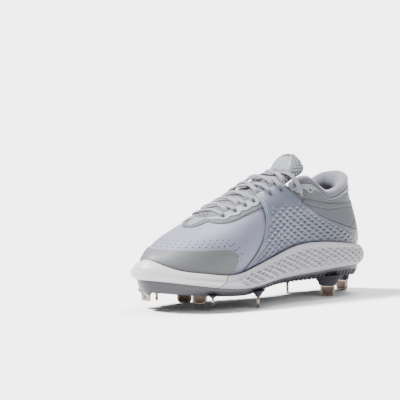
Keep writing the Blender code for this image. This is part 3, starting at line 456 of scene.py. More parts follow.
@tabled
def v_eyestay(s):
    """The eyestay's lower edge."""
    row = row_of(s)
    low = v_below(s, v_edge(s), between(EYESTAY_TABLE, row) * WIDTH)
    above = v_at_height(s, counter_height(s) + 2 * GAP)
    low = np.where(row < PAD_END_ROW + 0.05, np.maximum(low, above), low)
    share = np.clip((row - EYESTAY_WRAP_ROW) / (EYESTAY_END_ROW - EYESTAY_WRAP_ROW), 0, 1)
    return low + (1 - low) * (1 - np.sqrt(1 - share**1.6))


def over_eyestay(s, v):
    """How far the side panel's inner face lies off the last, so that it passes over the eyestay."""
    row = row_of(s)
    first = EYESTAY_TABLE[0][0]
    share = smooth_step((v - (v_eyestay(s) - 0.22)) / 0.13)
    side = smooth_step((row - (first - 0.7)) / 0.6)
    swept = GAP * smooth_step((row - PANEL_FRONT_HIGH) / 0.6)
    return SEAT + swept + (OVERLAY + SEAT - swept) * share * side


def panel_slant(s, share):
    """Leans the panel's stations near its front edge, which sweeps forward as it comes down to the rim."""
    row = row_of(s)
    back = (PANEL_FRONT_LOW - PANEL_FRONT_HIGH) * (1 - (1 - share) ** PANEL_SWEEP)
    still = 4.0
    moved = row - back * smooth_step((row - still) / (PANEL_FRONT_LOW - still))
    return np.where(lateral(s), moved, RING - moved)


def slanted(s, share):
    """Leans the sole's stations near the bumper's joint, so that the joint runs back as it rises."""
    row = row_of(s)
    lean = JOINT_SLANT * (0.5 - share) * np.maximum(0.0, 1 - np.abs(row - JOINT_ROW) / 2)
    return np.where(lateral(s), s + lean, s - lean)


def sidewall(s, share, sink=0.0):
    """Points of the sole's side, from its lower edge (share 0) to its rim (1), or sunk behind the bumper."""
    s = slanted(s, share)
    z = under(s) + (rim(s) - under(s)) * share
    inset = UNDER_INSET * np.maximum(0.0, 1 - share / BULGE_AT) ** 2
    weight = (np.maximum(0.0, (share - BULGE_AT) / (1 - BULGE_AT)) ** 2)[..., None]
    sink_at_rim = np.maximum(0.0, sink - (BUMPER_WALL - BUMPER_RIM))
    lip = skin(s, v_rim(s), ROOM + LIP - sink_at_rim)[..., :2]
    return point(outline(s, inset + sink) * (1 - weight) + lip * weight, z)


def side_lengths():
    """Length of the outline from the heel to each of SIDE_ROWS, on either side."""
    found = []
    for rows in (SIDE_ROWS, RING - SIDE_ROWS):
        steps = np.linalg.norm(np.diff(plan_of(rows), axis=0), axis=-1)
        found.append(np.concatenate([[0.0], np.cumsum(steps)]))
    return found


LATERAL_LENGTH, MEDIAL_LENGTH = side_lengths()


def along_wall(s):
    """Distance round the shoe from the heel, counted down on the medial side."""
    row = row_of(s)
    out = np.interp(row, SIDE_ROWS, LATERAL_LENGTH)
    back = np.interp(row, SIDE_ROWS, MEDIAL_LENGTH)
    return np.where(lateral(s), out, -back)


def wall_length(s, v_low, v_high):
    return np.linalg.norm(bare(s, v_high) - bare(s, v_low), axis=-1)


def v_rise(s):
    """Rough height of the whole wall, which turns v into metres."""
    return wall_length(s, 0.0, 1.0)


# Tools for pieces


def even(low, high, count):
    return np.linspace(low, high, count + 1)


def throat_curve(count):
    """Rows that crowd towards the throat's front end, where its edge turns over the ridge."""
    turn = np.sin(np.linspace(0, np.pi / 2, count))[1:]
    return THROAT_CURVE_ROW + (THROAT_END_ROW - THROAT_CURVE_ROW) * turn


def crowded(low, high, count, power=0.55):
    """Steps that crowd towards both ends, where an edge turns."""
    t = np.linspace(-1, 1, count + 1)
    t = np.sign(t) * (1 - (1 - np.abs(t)) ** (1 / power))
    return low + (high - low) * (t + 1) / 2


def rounded(share):
    """Height of a round edge at a share of its width from the border."""
    share = np.clip(share, 0, 1)
    return np.sqrt(np.maximum(0.0, 1 - (1 - share) ** 2))


def shaped_grid(bm, places, levels, shape, flat, masks=None, turned=True):
    """Adds a grid whose points go to shape(s, level), with pattern coordinates flat(s, level) in metres."""
    uv = bm.loops.layers.uv.get(PATTERN) or bm.loops.layers.uv.new(PATTERN)
    masks = masks or {}
    for name in masks:
        if bm.verts.layers.float.get(name) is None:
            bm.verts.layers.float.new(name)
    made = bmesh.ops.create_grid(bm, x_segments=len(places) - 1, y_segments=len(levels) - 1, size=1)
    verts = made["verts"]
    at = np.array([vert.co[:2] for vert in verts])
    at = (at - at.min(axis=0)) / (at.max(axis=0) - at.min(axis=0))
    s = np.interp(at[:, 0], np.linspace(0, 1, len(places)), places)
    level = np.interp(at[:, 1], np.linspace(0, 1, len(levels)), levels)
    plan = flat(s, level)
    for vert, place in zip(verts, shape(s, level)):
        vert.co = place
    for name, mask in masks.items():
        layer = bm.verts.layers.float[name]
        for vert, value in zip(verts, mask(s, level)):
            vert[layer] = value
    index = {vert: i for i, vert in enumerate(verts)}
    faces = list({face for vert in verts for face in vert.link_faces})
    for face in faces:
        for loop in face.loops:
            loop[uv].uv = plan[index[loop.vert]]
    if turned:
        bmesh.ops.reverse_faces(bm, faces=faces)
    return faces


MERGE = 0.002 * MM


def close_shell(bm):
    """Merges seams, fills open ends and turns every face outwards."""
    bmesh.ops.remove_doubles(bm, verts=bm.verts, dist=MERGE)
    bmesh.ops.holes_fill(bm, edges=[edge for edge in bm.edges if edge.is_boundary], sides=0)
    bmesh.ops.recalc_face_normals(bm, faces=bm.faces)


def finish_piece(bm, name, finishes, replaced=(), wall=0.0, sharp=50):
    """Makes the object, closes its seams, gives it a wall if asked, and puts it on the shoe."""
    bmesh.ops.remove_doubles(bm, verts=bm.verts, dist=MERGE)
    bmesh.ops.dissolve_degenerate(bm, edges=bm.edges, dist=MERGE)
    mesh = bpy.data.meshes.new(name)
    bm.to_mesh(mesh)
    bm.free()
    mesh.shade_smooth()
    mesh.set_sharp_from_angle(angle=math.radians(sharp))
    made = bpy.data.objects.new(name, mesh)
    bpy.context.scene.collection.objects.link(made)
    for finish in finishes:
        mesh.materials.append(finish)
    if wall:
        shell = made.modifiers.new("wall", "SOLIDIFY")
        shell.thickness = wall
        shell.offset = -1
        shell.use_even_offset = False
        shell.material_offset = len(finishes) - 1
        shell.material_offset_rim = 0
    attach(made, BODY)
    if replaced:
        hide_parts(*replaced)
    return made


def wall_pattern(s, v):
    return np.stack([along_wall(s), v * v_rise(s)], axis=-1)


def strip_pattern(height):
    """Pattern coordinates for a strip round the shoe that is a given height from level 0 to 1."""
    return lambda s, level: np.stack([along_wall(s), level * height], axis=-1)


# Node work for finishes

WAVE_SCALE = 3.1831


class Finish:
    """A material under construction: nodes are added by name and fed with values or other nodes' sockets."""

    def __init__(self, name, roughness=0.5, metallic=0.0):
        self.material = bpy.data.materials.new(f"{name}_finish")
        self.material.use_nodes = True
        self.tree = self.material.node_tree
        self.shader = self.tree.nodes["Principled BSDF"]
        self.set("Roughness", roughness)
        self.set("Metallic", metallic)

    def set(self, socket, value):
        target = self.shader.inputs[socket]
        if isinstance(value, bpy.types.NodeSocket):
            self.tree.links.new(value, target)
        else:
            target.default_value = value

    def add(self, kind, feeds=None, **options):
        node = self.tree.nodes.new(kind)
        for key, value in options.items():
            setattr(node, key, value)
        for key, value in (feeds or {}).items():
            if isinstance(value, bpy.types.NodeSocket):
                self.tree.links.new(value, node.inputs[key])
            else:
                node.inputs[key].default_value = value
        return node

    def object_place(self):
        return self.add("ShaderNodeTexCoord").outputs["Object"]

    def pattern_place(self):
        return self.add("ShaderNodeUVMap", uv_map=PATTERN).outputs["UV"]

    def mask(self, name):
        return self.add("ShaderNodeAttribute", attribute_name=name, attribute_type="GEOMETRY").outputs["Fac"]

    def noise(self, place, size, detail=2.0, roughness=0.5):
        feeds = {"Vector": place, "Scale": 1 / size, "Detail": detail, "Roughness": roughness}
        return self.add("ShaderNodeTexNoise", feeds).outputs["Fac"]

    def cells(self, place, size, smooth):
        feeds = {"Vector": place, "Scale": 1 / size, "Smoothness": smooth}
        return self.add("ShaderNodeTexVoronoi", feeds, feature="SMOOTH_F1").outputs["Distance"]

    def waves(self, place, size, direction="X"):
        feeds = {"Vector": place, "Scale": 1 / size / WAVE_SCALE}
        options = {"wave_type": "BANDS", "bands_direction": direction, "wave_profile": "SIN"}
        return self.add("ShaderNodeTexWave", feeds, **options).outputs["Fac"]

    def turned(self, place, angle=0.0, scale=(1, 1, 1)):
        feeds = {"Vector": place, "Rotation": (0, 0, math.radians(angle)), "Scale": scale}
        return self.add("ShaderNodeMapping", feeds).outputs["Vector"]

    def maths(self, operation, first, second):
        return self.add("ShaderNodeMath", {0: first, 1: second}, operation=operation).outputs[0]

    def span(self, value, low, high, to_low=0.0, to_high=1.0):
        feeds = {"Value": value, "From Min": low, "From Max": high, "To Min": to_low, "To Max": to_high}
        return self.add("ShaderNodeMapRange", feeds).outputs["Result"]

    def blend(self, share, first, second):
        node = self.add("ShaderNodeMix", data_type="RGBA")
        for socket, value in ((0, share), (6, first), (7, second)):
            if isinstance(value, bpy.types.NodeSocket):
                self.tree.links.new(value, node.inputs[socket])
            elif socket == 0:
                node.inputs[0].default_value = value
            else:
                node.inputs[socket].default_value = (*value, 1.0)
        return node.outputs[2]

    def relief(self, *layers):
        """Bumps stacked on each other, each a height and its depth in metres."""
        last = None
        for height, depth in layers:
            feeds = {"Height": height, "Strength": 1.0, "Distance": depth}
            if last is not None:
                feeds["Normal"] = last
            last = self.add("ShaderNodeBump", feeds).outputs["Normal"]
        self.set("Normal", last)


def shade(colour, share):
    return tuple(max(0.0, min(1.0, part * share)) for part in colour)


# Sizes and colours that a user may change


class CLEAT_PG_sizes(bpy.types.PropertyGroup):
    """Sizes of the fine work on the cleat."""

    lace_width: bpy.props.FloatProperty(
        name="Lace width", description="Width of the flat lace", default=4.5 * MM, unit="LENGTH"
    )
    lace_thickness: bpy.props.FloatProperty(
        name="Lace thickness", description="Thickness of the lace", default=2.3 * MM, unit="LENGTH"
    )
    eyelet_radius: bpy.props.FloatProperty(
        name="Eyelet radius", description="Radius of each punched eyelet", default=1.75 * MM, unit="LENGTH"
    )
    foam_cell: bpy.props.FloatProperty(
        name="Foam cell", description="Length of a midsole dent", default=11.5 * MM, unit="LENGTH"
    )
    foam_dent: bpy.props.FloatProperty(
        name="Foam dent", description="Depth of the midsole's dents", default=1.6 * MM, unit="LENGTH"
    )
    panel_cell: bpy.props.FloatProperty(
        name="Panel cell", description="Width of one diamond in the panel", default=11.2 * MM, unit="LENGTH"
    )
    panel_relief: bpy.props.FloatProperty(
        name="Panel relief", description="Depth of the diamonds", default=1.5 * MM, unit="LENGTH"
    )
    tongue_cell: bpy.props.FloatProperty(
        name="Tongue cell", description="Width of a knitted dot", default=4.2 * MM, unit="LENGTH"
    )
    stitch_pitch: bpy.props.FloatProperty(
        name="Stitch pitch", description="Distance from stitch to stitch", default=2.3 * MM, unit="LENGTH"
    )
    key_light: bpy.props.FloatProperty(
        name="Key light", description="Strength of the main soft light", default=15.0, min=0.0, max=20.0
    )


def colour_property(label, about, value):
    return bpy.props.FloatVectorProperty(
        name=label, description=about, default=value, size=3, min=0.0, max=1.0, subtype="COLOR"
    )


class CLEAT_PG_colours(bpy.types.PropertyGroup):
    """Colours of the cleat's finishes."""

    foam: colour_property("Foam", "Midsole foam", (0.355, 0.34, 0.37))
    bumper: colour_property("Bumper", "Smooth rubber round the toe", (0.42, 0.415, 0.42))
    plate: colour_property("Plate", "Hard outsole plate", (0.022, 0.022, 0.029))
    spike: colour_property("Spike", "Metal blades", (0.26, 0.2, 0.165))
    vamp: colour_property("Vamp", "Grained synthetic of the forefoot", (0.166, 0.164, 0.230))
    toe: colour_property("Toe", "Matte overlay round the toe", (0.092, 0.095, 0.100))
    eyestay: colour_property("Eyestay", "Pale layer round the eyelets", (0.165, 0.183, 0.200))
    panel: colour_property("Panel", "Side panel with sunk diamonds", (0.100, 0.112, 0.153))
    counter: colour_property("Counter", "Smooth wrap round the heel", (0.058, 0.06, 0.07))
    collar: colour_property("Collar", "Soft cloth of the collar and lining", (0.155, 0.153, 0.195))
    tongue: colour_property("Tongue", "Knitted cloth of the tongue", (0.145, 0.148, 0.18))
    lace: colour_property("Lace", "Braided lace", (0.18, 0.18, 0.205))
    thread: colour_property("Thread", "Dark stitching thread", (0.03, 0.032, 0.04))


def sizes():
    return bpy.context.scene.cleat_sizes


def colours():
    return bpy.context.scene.cleat_colours


def tone(name):
    return tuple(getattr(colours(), name))


# Finishes


def leather_like(name, colour, grain, depth, roughness):
    """A coated synthetic: fine pebbled grain, faint mottling, and slightly uneven gloss."""
    made = Finish(name, roughness)
    place = made.object_place()
    mottle = made.noise(place, 22 * MM, 3)
    fine = made.noise(place, 0.9 * MM, 3)
    pebble = made.cells(place, grain, 0.55)
    tinted = made.blend(made.span(mottle, 0.3, 0.7), shade(colour, 0.95), shade(colour, 1.05))
    # Painted shade: the mask darkens the counter's pressed lines and the line along the eyestay layer's
    # lower edge.
    painted_shade = made.blend(made.maths("MULTIPLY", made.mask("seam"), 0.85), tinted, shade(colour, 0.30))
    made.set("Base Color", painted_shade)
    made.set("Roughness", made.span(mottle, 0.25, 0.75, roughness - 0.05, roughness + 0.07))
    made.relief((pebble, depth), (fine, 0.4 * depth))
    made.set("Coat Weight", 0.06)
    made.set("Coat Roughness", 0.35)
    return made.material


def foam_finish():
    """Moulded foam: closed skin with tiny pores, and painted shade in the dents."""
    made = Finish("foam", 0.58)
    colour = tone("foam")
    place = made.object_place()
    cloud = made.noise(place, 30 * MM, 3)
    pores = made.cells(place, 0.8 * MM, 0.4)
    base = made.blend(made.span(cloud, 0.3, 0.7), shade(colour, 0.965), shade(colour, 1.03))
    # Painted shade: the dents are darkened.
    sunk = made.maths("MULTIPLY", made.mask("dent"), 0.8)
    made.set("Base Color", made.blend(sunk, base, shade(colour, 0.55)))
    made.set("Roughness", made.span(cloud, 0.2, 0.8, 0.52, 0.64))
    made.relief((pores, 0.05 * MM), (made.noise(place, 2.4 * MM, 2), 0.06 * MM))
    made.set("Subsurface Weight", 0.06)
    made.set("Subsurface Radius", (1.2 * MM, 1.0 * MM, 0.9 * MM))
    return made.material


def rubber_finish():
    """Smooth moulded rubber with a satin skin."""
    made = Finish("bumper_rubber", 0.42)
    colour = tone("bumper")
    place = made.object_place()
    cloud = made.noise(place, 26 * MM, 2)
    made.set("Base Color", made.blend(made.span(cloud, 0.3, 0.7), shade(colour, 0.97), shade(colour, 1.02)))
    made.set("Roughness", made.span(made.noise(place, 5 * MM, 3), 0.3, 0.7, 0.38, 0.48))
    made.relief((made.cells(place, 1.3 * MM, 0.6), 0.05 * MM), (made.noise(place, 0.7 * MM), 0.02 * MM))
    return made.material


def plate_finish():
    """Hard moulded plastic, slightly glossy, with a little depth of its own."""
    made = Finish("plate_plastic", 0.42)
    colour = tone("plate")
    place = made.object_place()
    cloud = made.noise(place, 18 * MM, 3)
    made.set("Base Color", made.blend(made.span(cloud, 0.3, 0.7), shade(colour, 0.90), shade(colour, 1.10)))
    made.set("Roughness", made.span(made.noise(place, 3 * MM, 3), 0.3, 0.7, 0.36, 0.50))
    made.relief((made.noise(place, 1.1 * MM, 2), 0.03 * MM))
    made.set("Coat Weight", 0.05)
    made.set("Coat Roughness", 0.25)
    return made.material


def metal_finish():
    """Bronze-toned plated steel with fine rolling marks, and sunk fields darkened by patina and by painted
    shade.
    """
    made = Finish("spike_metal", 0.22, 1.0)
    colour = tone("spike")
    place = made.object_place()
    streaks = made.noise(made.turned(place, 0, (1, 1, 0.12)), 0.5 * MM, 3)
    cloud = made.noise(place, 6 * MM, 3)
    base = made.blend(made.span(cloud, 0.35, 0.65), shade(colour, 0.78), shade(colour, 1.15))
    # The sunk fields: darker patina, deepened with painted shade.
    sunk = made.maths("MULTIPLY", made.mask("recess"), 0.9)
    made.set("Base Color", made.blend(sunk, base, shade(colour, 0.16)))
    made.set("Roughness", made.span(streaks, 0.3, 0.7, 0.16, 0.32))
    made.relief((streaks, 0.012 * MM))
    return made.material


def knit_finish(name, colour, rib=0.85 * MM, depth=0.06 * MM, dark=0.62):
    """Soft cloth: rows of small stitches that follow the piece, with a napped sheen."""
    made = Finish(name, 0.88)
    place = made.pattern_place()
    course = made.waves(place, rib, "X")
    wale = made.waves(place, rib * 1.25, "Y")
    weave = made.maths("MULTIPLY", course, wale)
    cloud = made.noise(made.object_place(), 16 * MM, 3)
    fuzz = made.noise(made.object_place(), 0.5 * MM, 2)
    tinted = made.blend(made.span(cloud, 0.3, 0.7), shade(colour, 0.95), shade(colour, 1.05))
    lit = made.blend(made.span(weave, 0.0, 0.55), shade(colour, dark), tinted)
    # Painted shade: the mask darkens the collar roll's lower outside, where it hangs over the mesh band.
    painted_shade = made.maths("MULTIPLY", made.mask("seam"), 0.85)
    made.set("Base Color", made.blend(painted_shade, lit, shade(colour, 0.3)))
    made.relief((weave, depth), (fuzz, 0.3 * depth))
    made.set("Sheen Weight", 0.35)
    made.set("Sheen Roughness", 0.5)
    return made.material


def lace_finish():
    """Braided lace: crossing strands that run slantwise along it."""
    made = Finish("lace_cord", 0.80)
    colour = tone("lace")
    place = made.pattern_place()
    one = made.waves(made.turned(place, 38), 0.9 * MM, "X")
    other = made.waves(made.turned(place, -38), 0.9 * MM, "X")
    braid = made.maths("MAXIMUM", one, other)
    fuzz = made.noise(made.object_place(), 0.4 * MM, 2)
    cloud = made.noise(made.object_place(), 12 * MM, 2)
    tinted = made.blend(made.span(cloud, 0.3, 0.7), shade(colour, 0.95), shade(colour, 1.05))
    lit = made.blend(made.span(braid, 0.25, 0.8), shade(colour, 0.72), tinted)
    # Painted shade where each strand dives into its eyelet.
    made.set("Base Color", made.blend(made.mask("tip"), lit, shade(tone("panel"), 0.55)))
    made.relief((braid, 0.07 * MM), (fuzz, 0.03 * MM))
    made.set("Sheen Weight", 0.25)
    made.set("Sheen Roughness", 0.4)
    return made.material


def plain_finish(name, colour, roughness=0.6):
    made = Finish(name, roughness)
    cloud = made.noise(made.object_place(), 4 * MM, 2)
    made.set("Base Color", made.blend(made.span(cloud, 0.3, 0.7), shade(colour, 0.85), shade(colour, 1.15)))
    made.relief((made.noise(made.object_place(), 0.6 * MM), 0.02 * MM))
    return made.material


made_finishes = {}


def found(name, maker, *values, **more):
    """A finish by name, made the first time that a piece asks for it."""
    if name not in made_finishes:
        made_finishes[name] = maker(*values, **more)
    return made_finishes[name]


def coated(name, colour, grain, depth, roughness):
    """A coated synthetic in one of the named colours."""
    return found(name, leather_like, name, tone(colour), grain, depth, roughness)


# The sole


def diamonds(u, v, cell, tall=0.46, fill=0.36):
    """1 inside the lozenges of a staggered grid and 0 between them, with soft walls."""
    a = u / cell + v / (cell * tall)
    b = u / cell - v / (cell * tall)
    far = np.maximum(np.abs(a - np.round(a)), np.abs(b - np.round(b)))
    return 1 - smooth_step((far - fill + 0.10) / 0.14)


def side_places(low, high, step):
    return even(low, high, int(round(abs(high - low) / step)))


def foam_section(s, level):
    """The midsole's section: underneath (0 to 1), dented side (to 2), lip, inner wall and floor (to 4)."""
    sink = np.where(row_of(s) > JOINT_ROW, BUMPER_WALL + GAP, 0.0)
    share = np.clip(level - 1, 0, 1)
    side = sidewall(s, share, sink)
    outer_low, twin_low = sidewall(s, 0 * s, sink), sidewall(RING - s, 0 * s, sink)
    centre_low = (outer_low + twin_low) / 2
    inner_v = v_rim(s) * np.clip(1 - (level - 2.2) / 0.8, 0, 1)
    inner = skin(slanted(s, np.ones_like(s)), inner_v, ROOM)
    base_plan = outline(s, FEATHER_INSET - ROOM)
    base = point(base_plan, floor(base_plan[:, 0]) - GAP)
    twin_plan = outline(RING - s, FEATHER_INSET - ROOM)
    twin = point(twin_plan, floor(twin_plan[:, 0]) - GAP)
    centre_top = (base + twin) / 2
    below = np.clip(level, 0, 1)[:, None]
    made = np.where((level < 1)[:, None], centre_low * (1 - below) + outer_low * below, side)
    rim_outer = sidewall(s, np.ones_like(s), sink)
    crown = np.clip((level - 2) / 0.2, 0, 1)[:, None]
    rim_inner = skin(slanted(s, np.ones_like(s)), v_rim(s), ROOM)
    over = rim_outer * (1 - crown) + rim_inner * crown
    over[:, 2] += 0.5 * MM * np.sin(np.pi * crown[:, 0])
    made = np.where(((level > 2) & (level <= 2.2))[:, None], over, made)
    made = np.where(((level > 2.2) & (level <= 3))[:, None], inner, made)
    last = np.clip(level - 3, 0, 1)[:, None]
    made = np.where((level > 3)[:, None], base * (1 - last) + centre_top * last, made)
    return made


def foam_flow(s, share):
    """Pattern coordinates on the midsole's side: along it, and up from its middle line."""
    return along_wall(s), (under(s) + (rim(s) - under(s)) * share) - (under(s) + rim(s)) / 2


def foam_mask(s, level):
    """Where the midsole's side is dented, from 0 to 1."""
    share = level - 1
    row = row_of(slanted(s, np.clip(share, 0, 1)))
    edge = smooth_step((share - 0.10) / 0.14) * smooth_step((0.90 - share) / 0.12)
    ends = smooth_step((JOINT_ROW - 0.35 - row) / 0.5) * smooth_step((row - 0.2) / 1.4)
    heel_fade = 0.35 + 0.65 * smooth_step((row - 0.8) / 1.6)
    return edge * ends * heel_fade * ((share > 0) & (share < 1))


def foam_dents(s, level):
    u, v = foam_flow(s, np.clip(level - 1, 0, 1))
    cell = sizes().foam_cell
    return diamonds(u, v, cell) * foam_mask(s, level)


def foam_shape(s, level):
    made = foam_section(s, level)
    dent = foam_dents(s, level)
    plan = outline(s, 1.0) - outline(s, 0.0)
    made[:, :2] += plan * (dent * sizes().foam_dent)[:, None]
    return made


class CLEAT_OT_midsole(bpy.types.Operator):
    """Adds the foam midsole with its dented side and bright lip."""

    bl_idname = "cleat.midsole"
    bl_label = "Midsole"

    def execute(self, context):
        rows = [r for r in side_places(0, ROWS, 0.0325) if abs(r - JOINT_ROW) > 0.02]
        rows = np.array(sorted([*rows, JOINT_ROW - 0.012, JOINT_ROW + 0.012]))
        places = np.concatenate([rows, RING - rows[-2::-1]])
        levels = [0.0, 0.35, 0.7, 0.9, 0.97]
        levels += list(even(1, 2, 44)) + [2.05, 2.1, 2.15, 2.2, 2.3, 2.5, 2.75, 3.0, 3.2, 3.6, 4.0]
        bm = bmesh.new()

        def flat(s, level):
            return np.stack(foam_flow(s, np.clip(level - 1, 0, 1)), axis=-1)

        shaped_grid(bm, places, levels, foam_shape, flat, {"dent": foam_dents})
        finish_piece(bm, "midsole_foam", [found("foam", foam_finish)], ["midsole"])
        return {"FINISHED"}


class CLEAT_OT_bumper(bpy.types.Operator):
    """Adds the smooth rubber bumper round the toe."""

    bl_idname = "cleat.bumper"
    bl_label = "Toe bumper"

    def execute(self, context):
        low = JOINT_ROW + 0.045
        ends_at = np.array([0, 0.008, 0.02])
        along = side_places(low + 0.05, RING - low - 0.05, 0.04)
        places = np.concatenate([low + ends_at, along, RING - low - ends_at[::-1]])
        levels = np.concatenate([crowded(0, 1, 34), [1.03, 1.1], even(1.25, 1.9, 5), [1.97, 2.0, 3.0]])

        def shape(s, level):
            share = np.clip(level, 0, 1)
            back = np.clip(2 - level, 0, 1)
            outer = sidewall(s, share)
            inner = sidewall(s, back, BUMPER_WALL)
            made = np.where((level <= 1)[:, None], outer, inner)
            made = np.where((level > 2.5)[:, None], sidewall(s, 0 * s), made)
            top = rounded(1 - np.abs(level - 1.0) / 0.12) * (np.abs(level - 1) < 0.12)
            made[:, 2] += 0.5 * MM * top
            ends = np.minimum(np.abs(s - low), np.abs(RING - low - s)) * LENGTH / ROWS
            soft = 0.35 * MM * (1 - rounded(ends / (0.8 * MM))) * (level < 1)
            made[:, :2] += (outline(s, 1.0) - outline(s, 0.0)) * soft[:, None]
            return made

        bm = bmesh.new()
        shaped_grid(bm, places, levels, shape, strip_pattern(0.02))
        close_shell(bm)
        finish = found("bumper_rubber", rubber_finish)
        finish_piece(bm, "toe_bumper_rubber", [finish], ["toe_bumper"])
        return {"FINISHED"}


def spikes():
    return [dict(zip(SPIKE_COLUMNS, row)) for row in SPIKE_TABLE]


def spike_seat(spike):
    """The height where a blade meets its boss, always below the plate."""
    row = row_at(spike["along"] * LENGTH)
    return float(min(SPIKE_DROP + spike["lift"], under(row) - GAP - plate_depth(row) - BOSS_STEP))


TOOTH_PITCH = 6.4 * MM


def plate_teeth(s):
    """Depth of the teeth along the plate's lower edge."""
    u = along_wall(s)
    return 1 - np.abs(2 * (u / TOOTH_PITCH - np.floor(u / TOOTH_PITCH)) - 1)


def plate_toothed(s):
    """Where the plate's edge is toothed, from 0 to 1."""
    row = row_of(s)
    return smooth_step((row - 0.3) / 0.5) * smooth_step((7.4 - row) / 0.8)


def plate_shape(s, level):
    """The plate's section: top (0 to 1), toothed side (to 2) and ribbed underside (to 3)."""
    z = under(s) - GAP
    depth = plate_depth(s)
    share = np.clip(level - 1, 0, 1)
    tooth = plate_teeth(s)
    inset = UNDER_INSET + PLATE_TAPER * share**1.4 - 0.2 * MM * np.sin(np.pi * share)
    gap = smooth_step((0.75 - tooth) / 0.5) * plate_toothed(s)
    notch = 2.6 * MM * gap * smooth_step((share - 0.25) / 0.35)
    z = z + 0.9 * MM * gap * smooth_step((share - 0.7) / 0.3)
    side = point(outline(s, inset + notch), z - depth * share)
    top_edge, top_twin = point(outline(s, UNDER_INSET), z), point(outline(RING - s, UNDER_INSET), z)
    low_edge = point(outline(s, UNDER_INSET + PLATE_TAPER), z - depth)
    low_twin = point(outline(RING - s, UNDER_INSET + PLATE_TAPER), z - depth)
    first = np.clip(level, 0, 1)[:, None]
    last = np.clip(level - 2, 0, 1)[:, None]
    made = np.where((level < 1)[:, None], (top_edge + top_twin) / 2 * (1 - first) + top_edge * first, side)
    under_side = low_edge * (1 - last) + (low_edge + low_twin) / 2 * last
    notched = outline(s, UNDER_INSET + PLATE_TAPER + notch)
    under_side[:, :2] += (notched - low_edge[:, :2]) * (1 - smooth_step(last / 0.12))
    x, y = under_side[:, 0], under_side[:, 1]
    rib = 1 - smooth_step(np.abs((x + 0.5 * np.abs(y)) / (9 * MM) % 1 - 0.5) / 0.22 - 0.4)
    frame_share = smooth_step((last[:, 0] - 0.10) / 0.08)
    spine = 1 - smooth_step((last[:, 0] - 0.80) / 0.12)
    under_side[:, 2] += 1.3 * MM * frame_share * (1 - 0.75 * rib) * spine
    return np.where((level > 2)[:, None], under_side, made)


def add_boss(bm, spike):
    """One boss: an oval that flares into the plate and narrows to the blade's seat, with a fluted waist."""
    x, y = spike["along"] * LENGTH, spike["across"] * WIDTH
    row = row_at(x)
    low = spike_seat(spike) + GAP
    high = float(under(row) - GAP - plate_depth(row))
    root = high + 2 * MM
    made = bmesh.ops.create_grid(bm, x_segments=48, y_segments=14, size=1)["verts"]
    turn = math.radians(spike["turn"])
    for vert in made:
        angle = math.pi * (vert.co.x + 1)
        share = (vert.co.y + 1) / 2
        fall = min(share / 0.9, 1.0)
        grown = (1 - fall) ** 1.6
        size = [foot + (spike["boss"] * top - foot) * grown for top, foot in zip(BOSS_TOP, BOSS_FOOT)]
        flute = 1 - 0.035 * (0.5 + 0.5 * math.cos(10 * angle)) * math.sin(math.pi * min(1.0, fall * 1.1))
        flat = 2.6
        c, sn = math.cos(angle), math.sin(angle)
        wide = abs(c) ** (2 / flat) * math.copysign(1, c)
        deep = abs(sn) ** (2 / flat) * math.copysign(1, sn)
        closing = 1 - smooth_step((share - 0.9) / 0.1) if share > 0.9 else 1.0
        px = wide * size[0] / 2 * flute * closing
        py = deep * size[1] / 2 * flute * closing
        z = root + (low - root) * fall
        vert.co = (
            x + px * math.cos(turn) - py * math.sin(turn),
            y + px * math.sin(turn) + py * math.cos(turn),
            z,
        )


class CLEAT_OT_plate(bpy.types.Operator):
    """Adds the hard plate with its toothed edge, ribbed underside and the bosses that hold the blades."""

    bl_idname = "cleat.plate"
    bl_label = "Plate"

    def execute(self, context):
        places = side_places(0, RING, 0.03)
        levels = [0.0, 0.5, 0.9, *even(1, 2, 12), 2.02, 2.05, 2.08, *even(2.1, 3.0, 22)]
        bm = bmesh.new()
        shaped_grid(bm, places, levels, plate_shape, strip_pattern(1.0))
        for face in bm.faces:
            face.normal_flip()
        bmesh.ops.remove_doubles(bm, verts=bm.verts, dist=MERGE)
        for spike in spikes():
            add_boss(bm, spike)
        close_shell(bm)
        finish = found("plate_plastic", plate_finish)
        finish_piece(bm, "plate_shell", [finish], ["outsole_plate"])
        return {"FINISHED"}


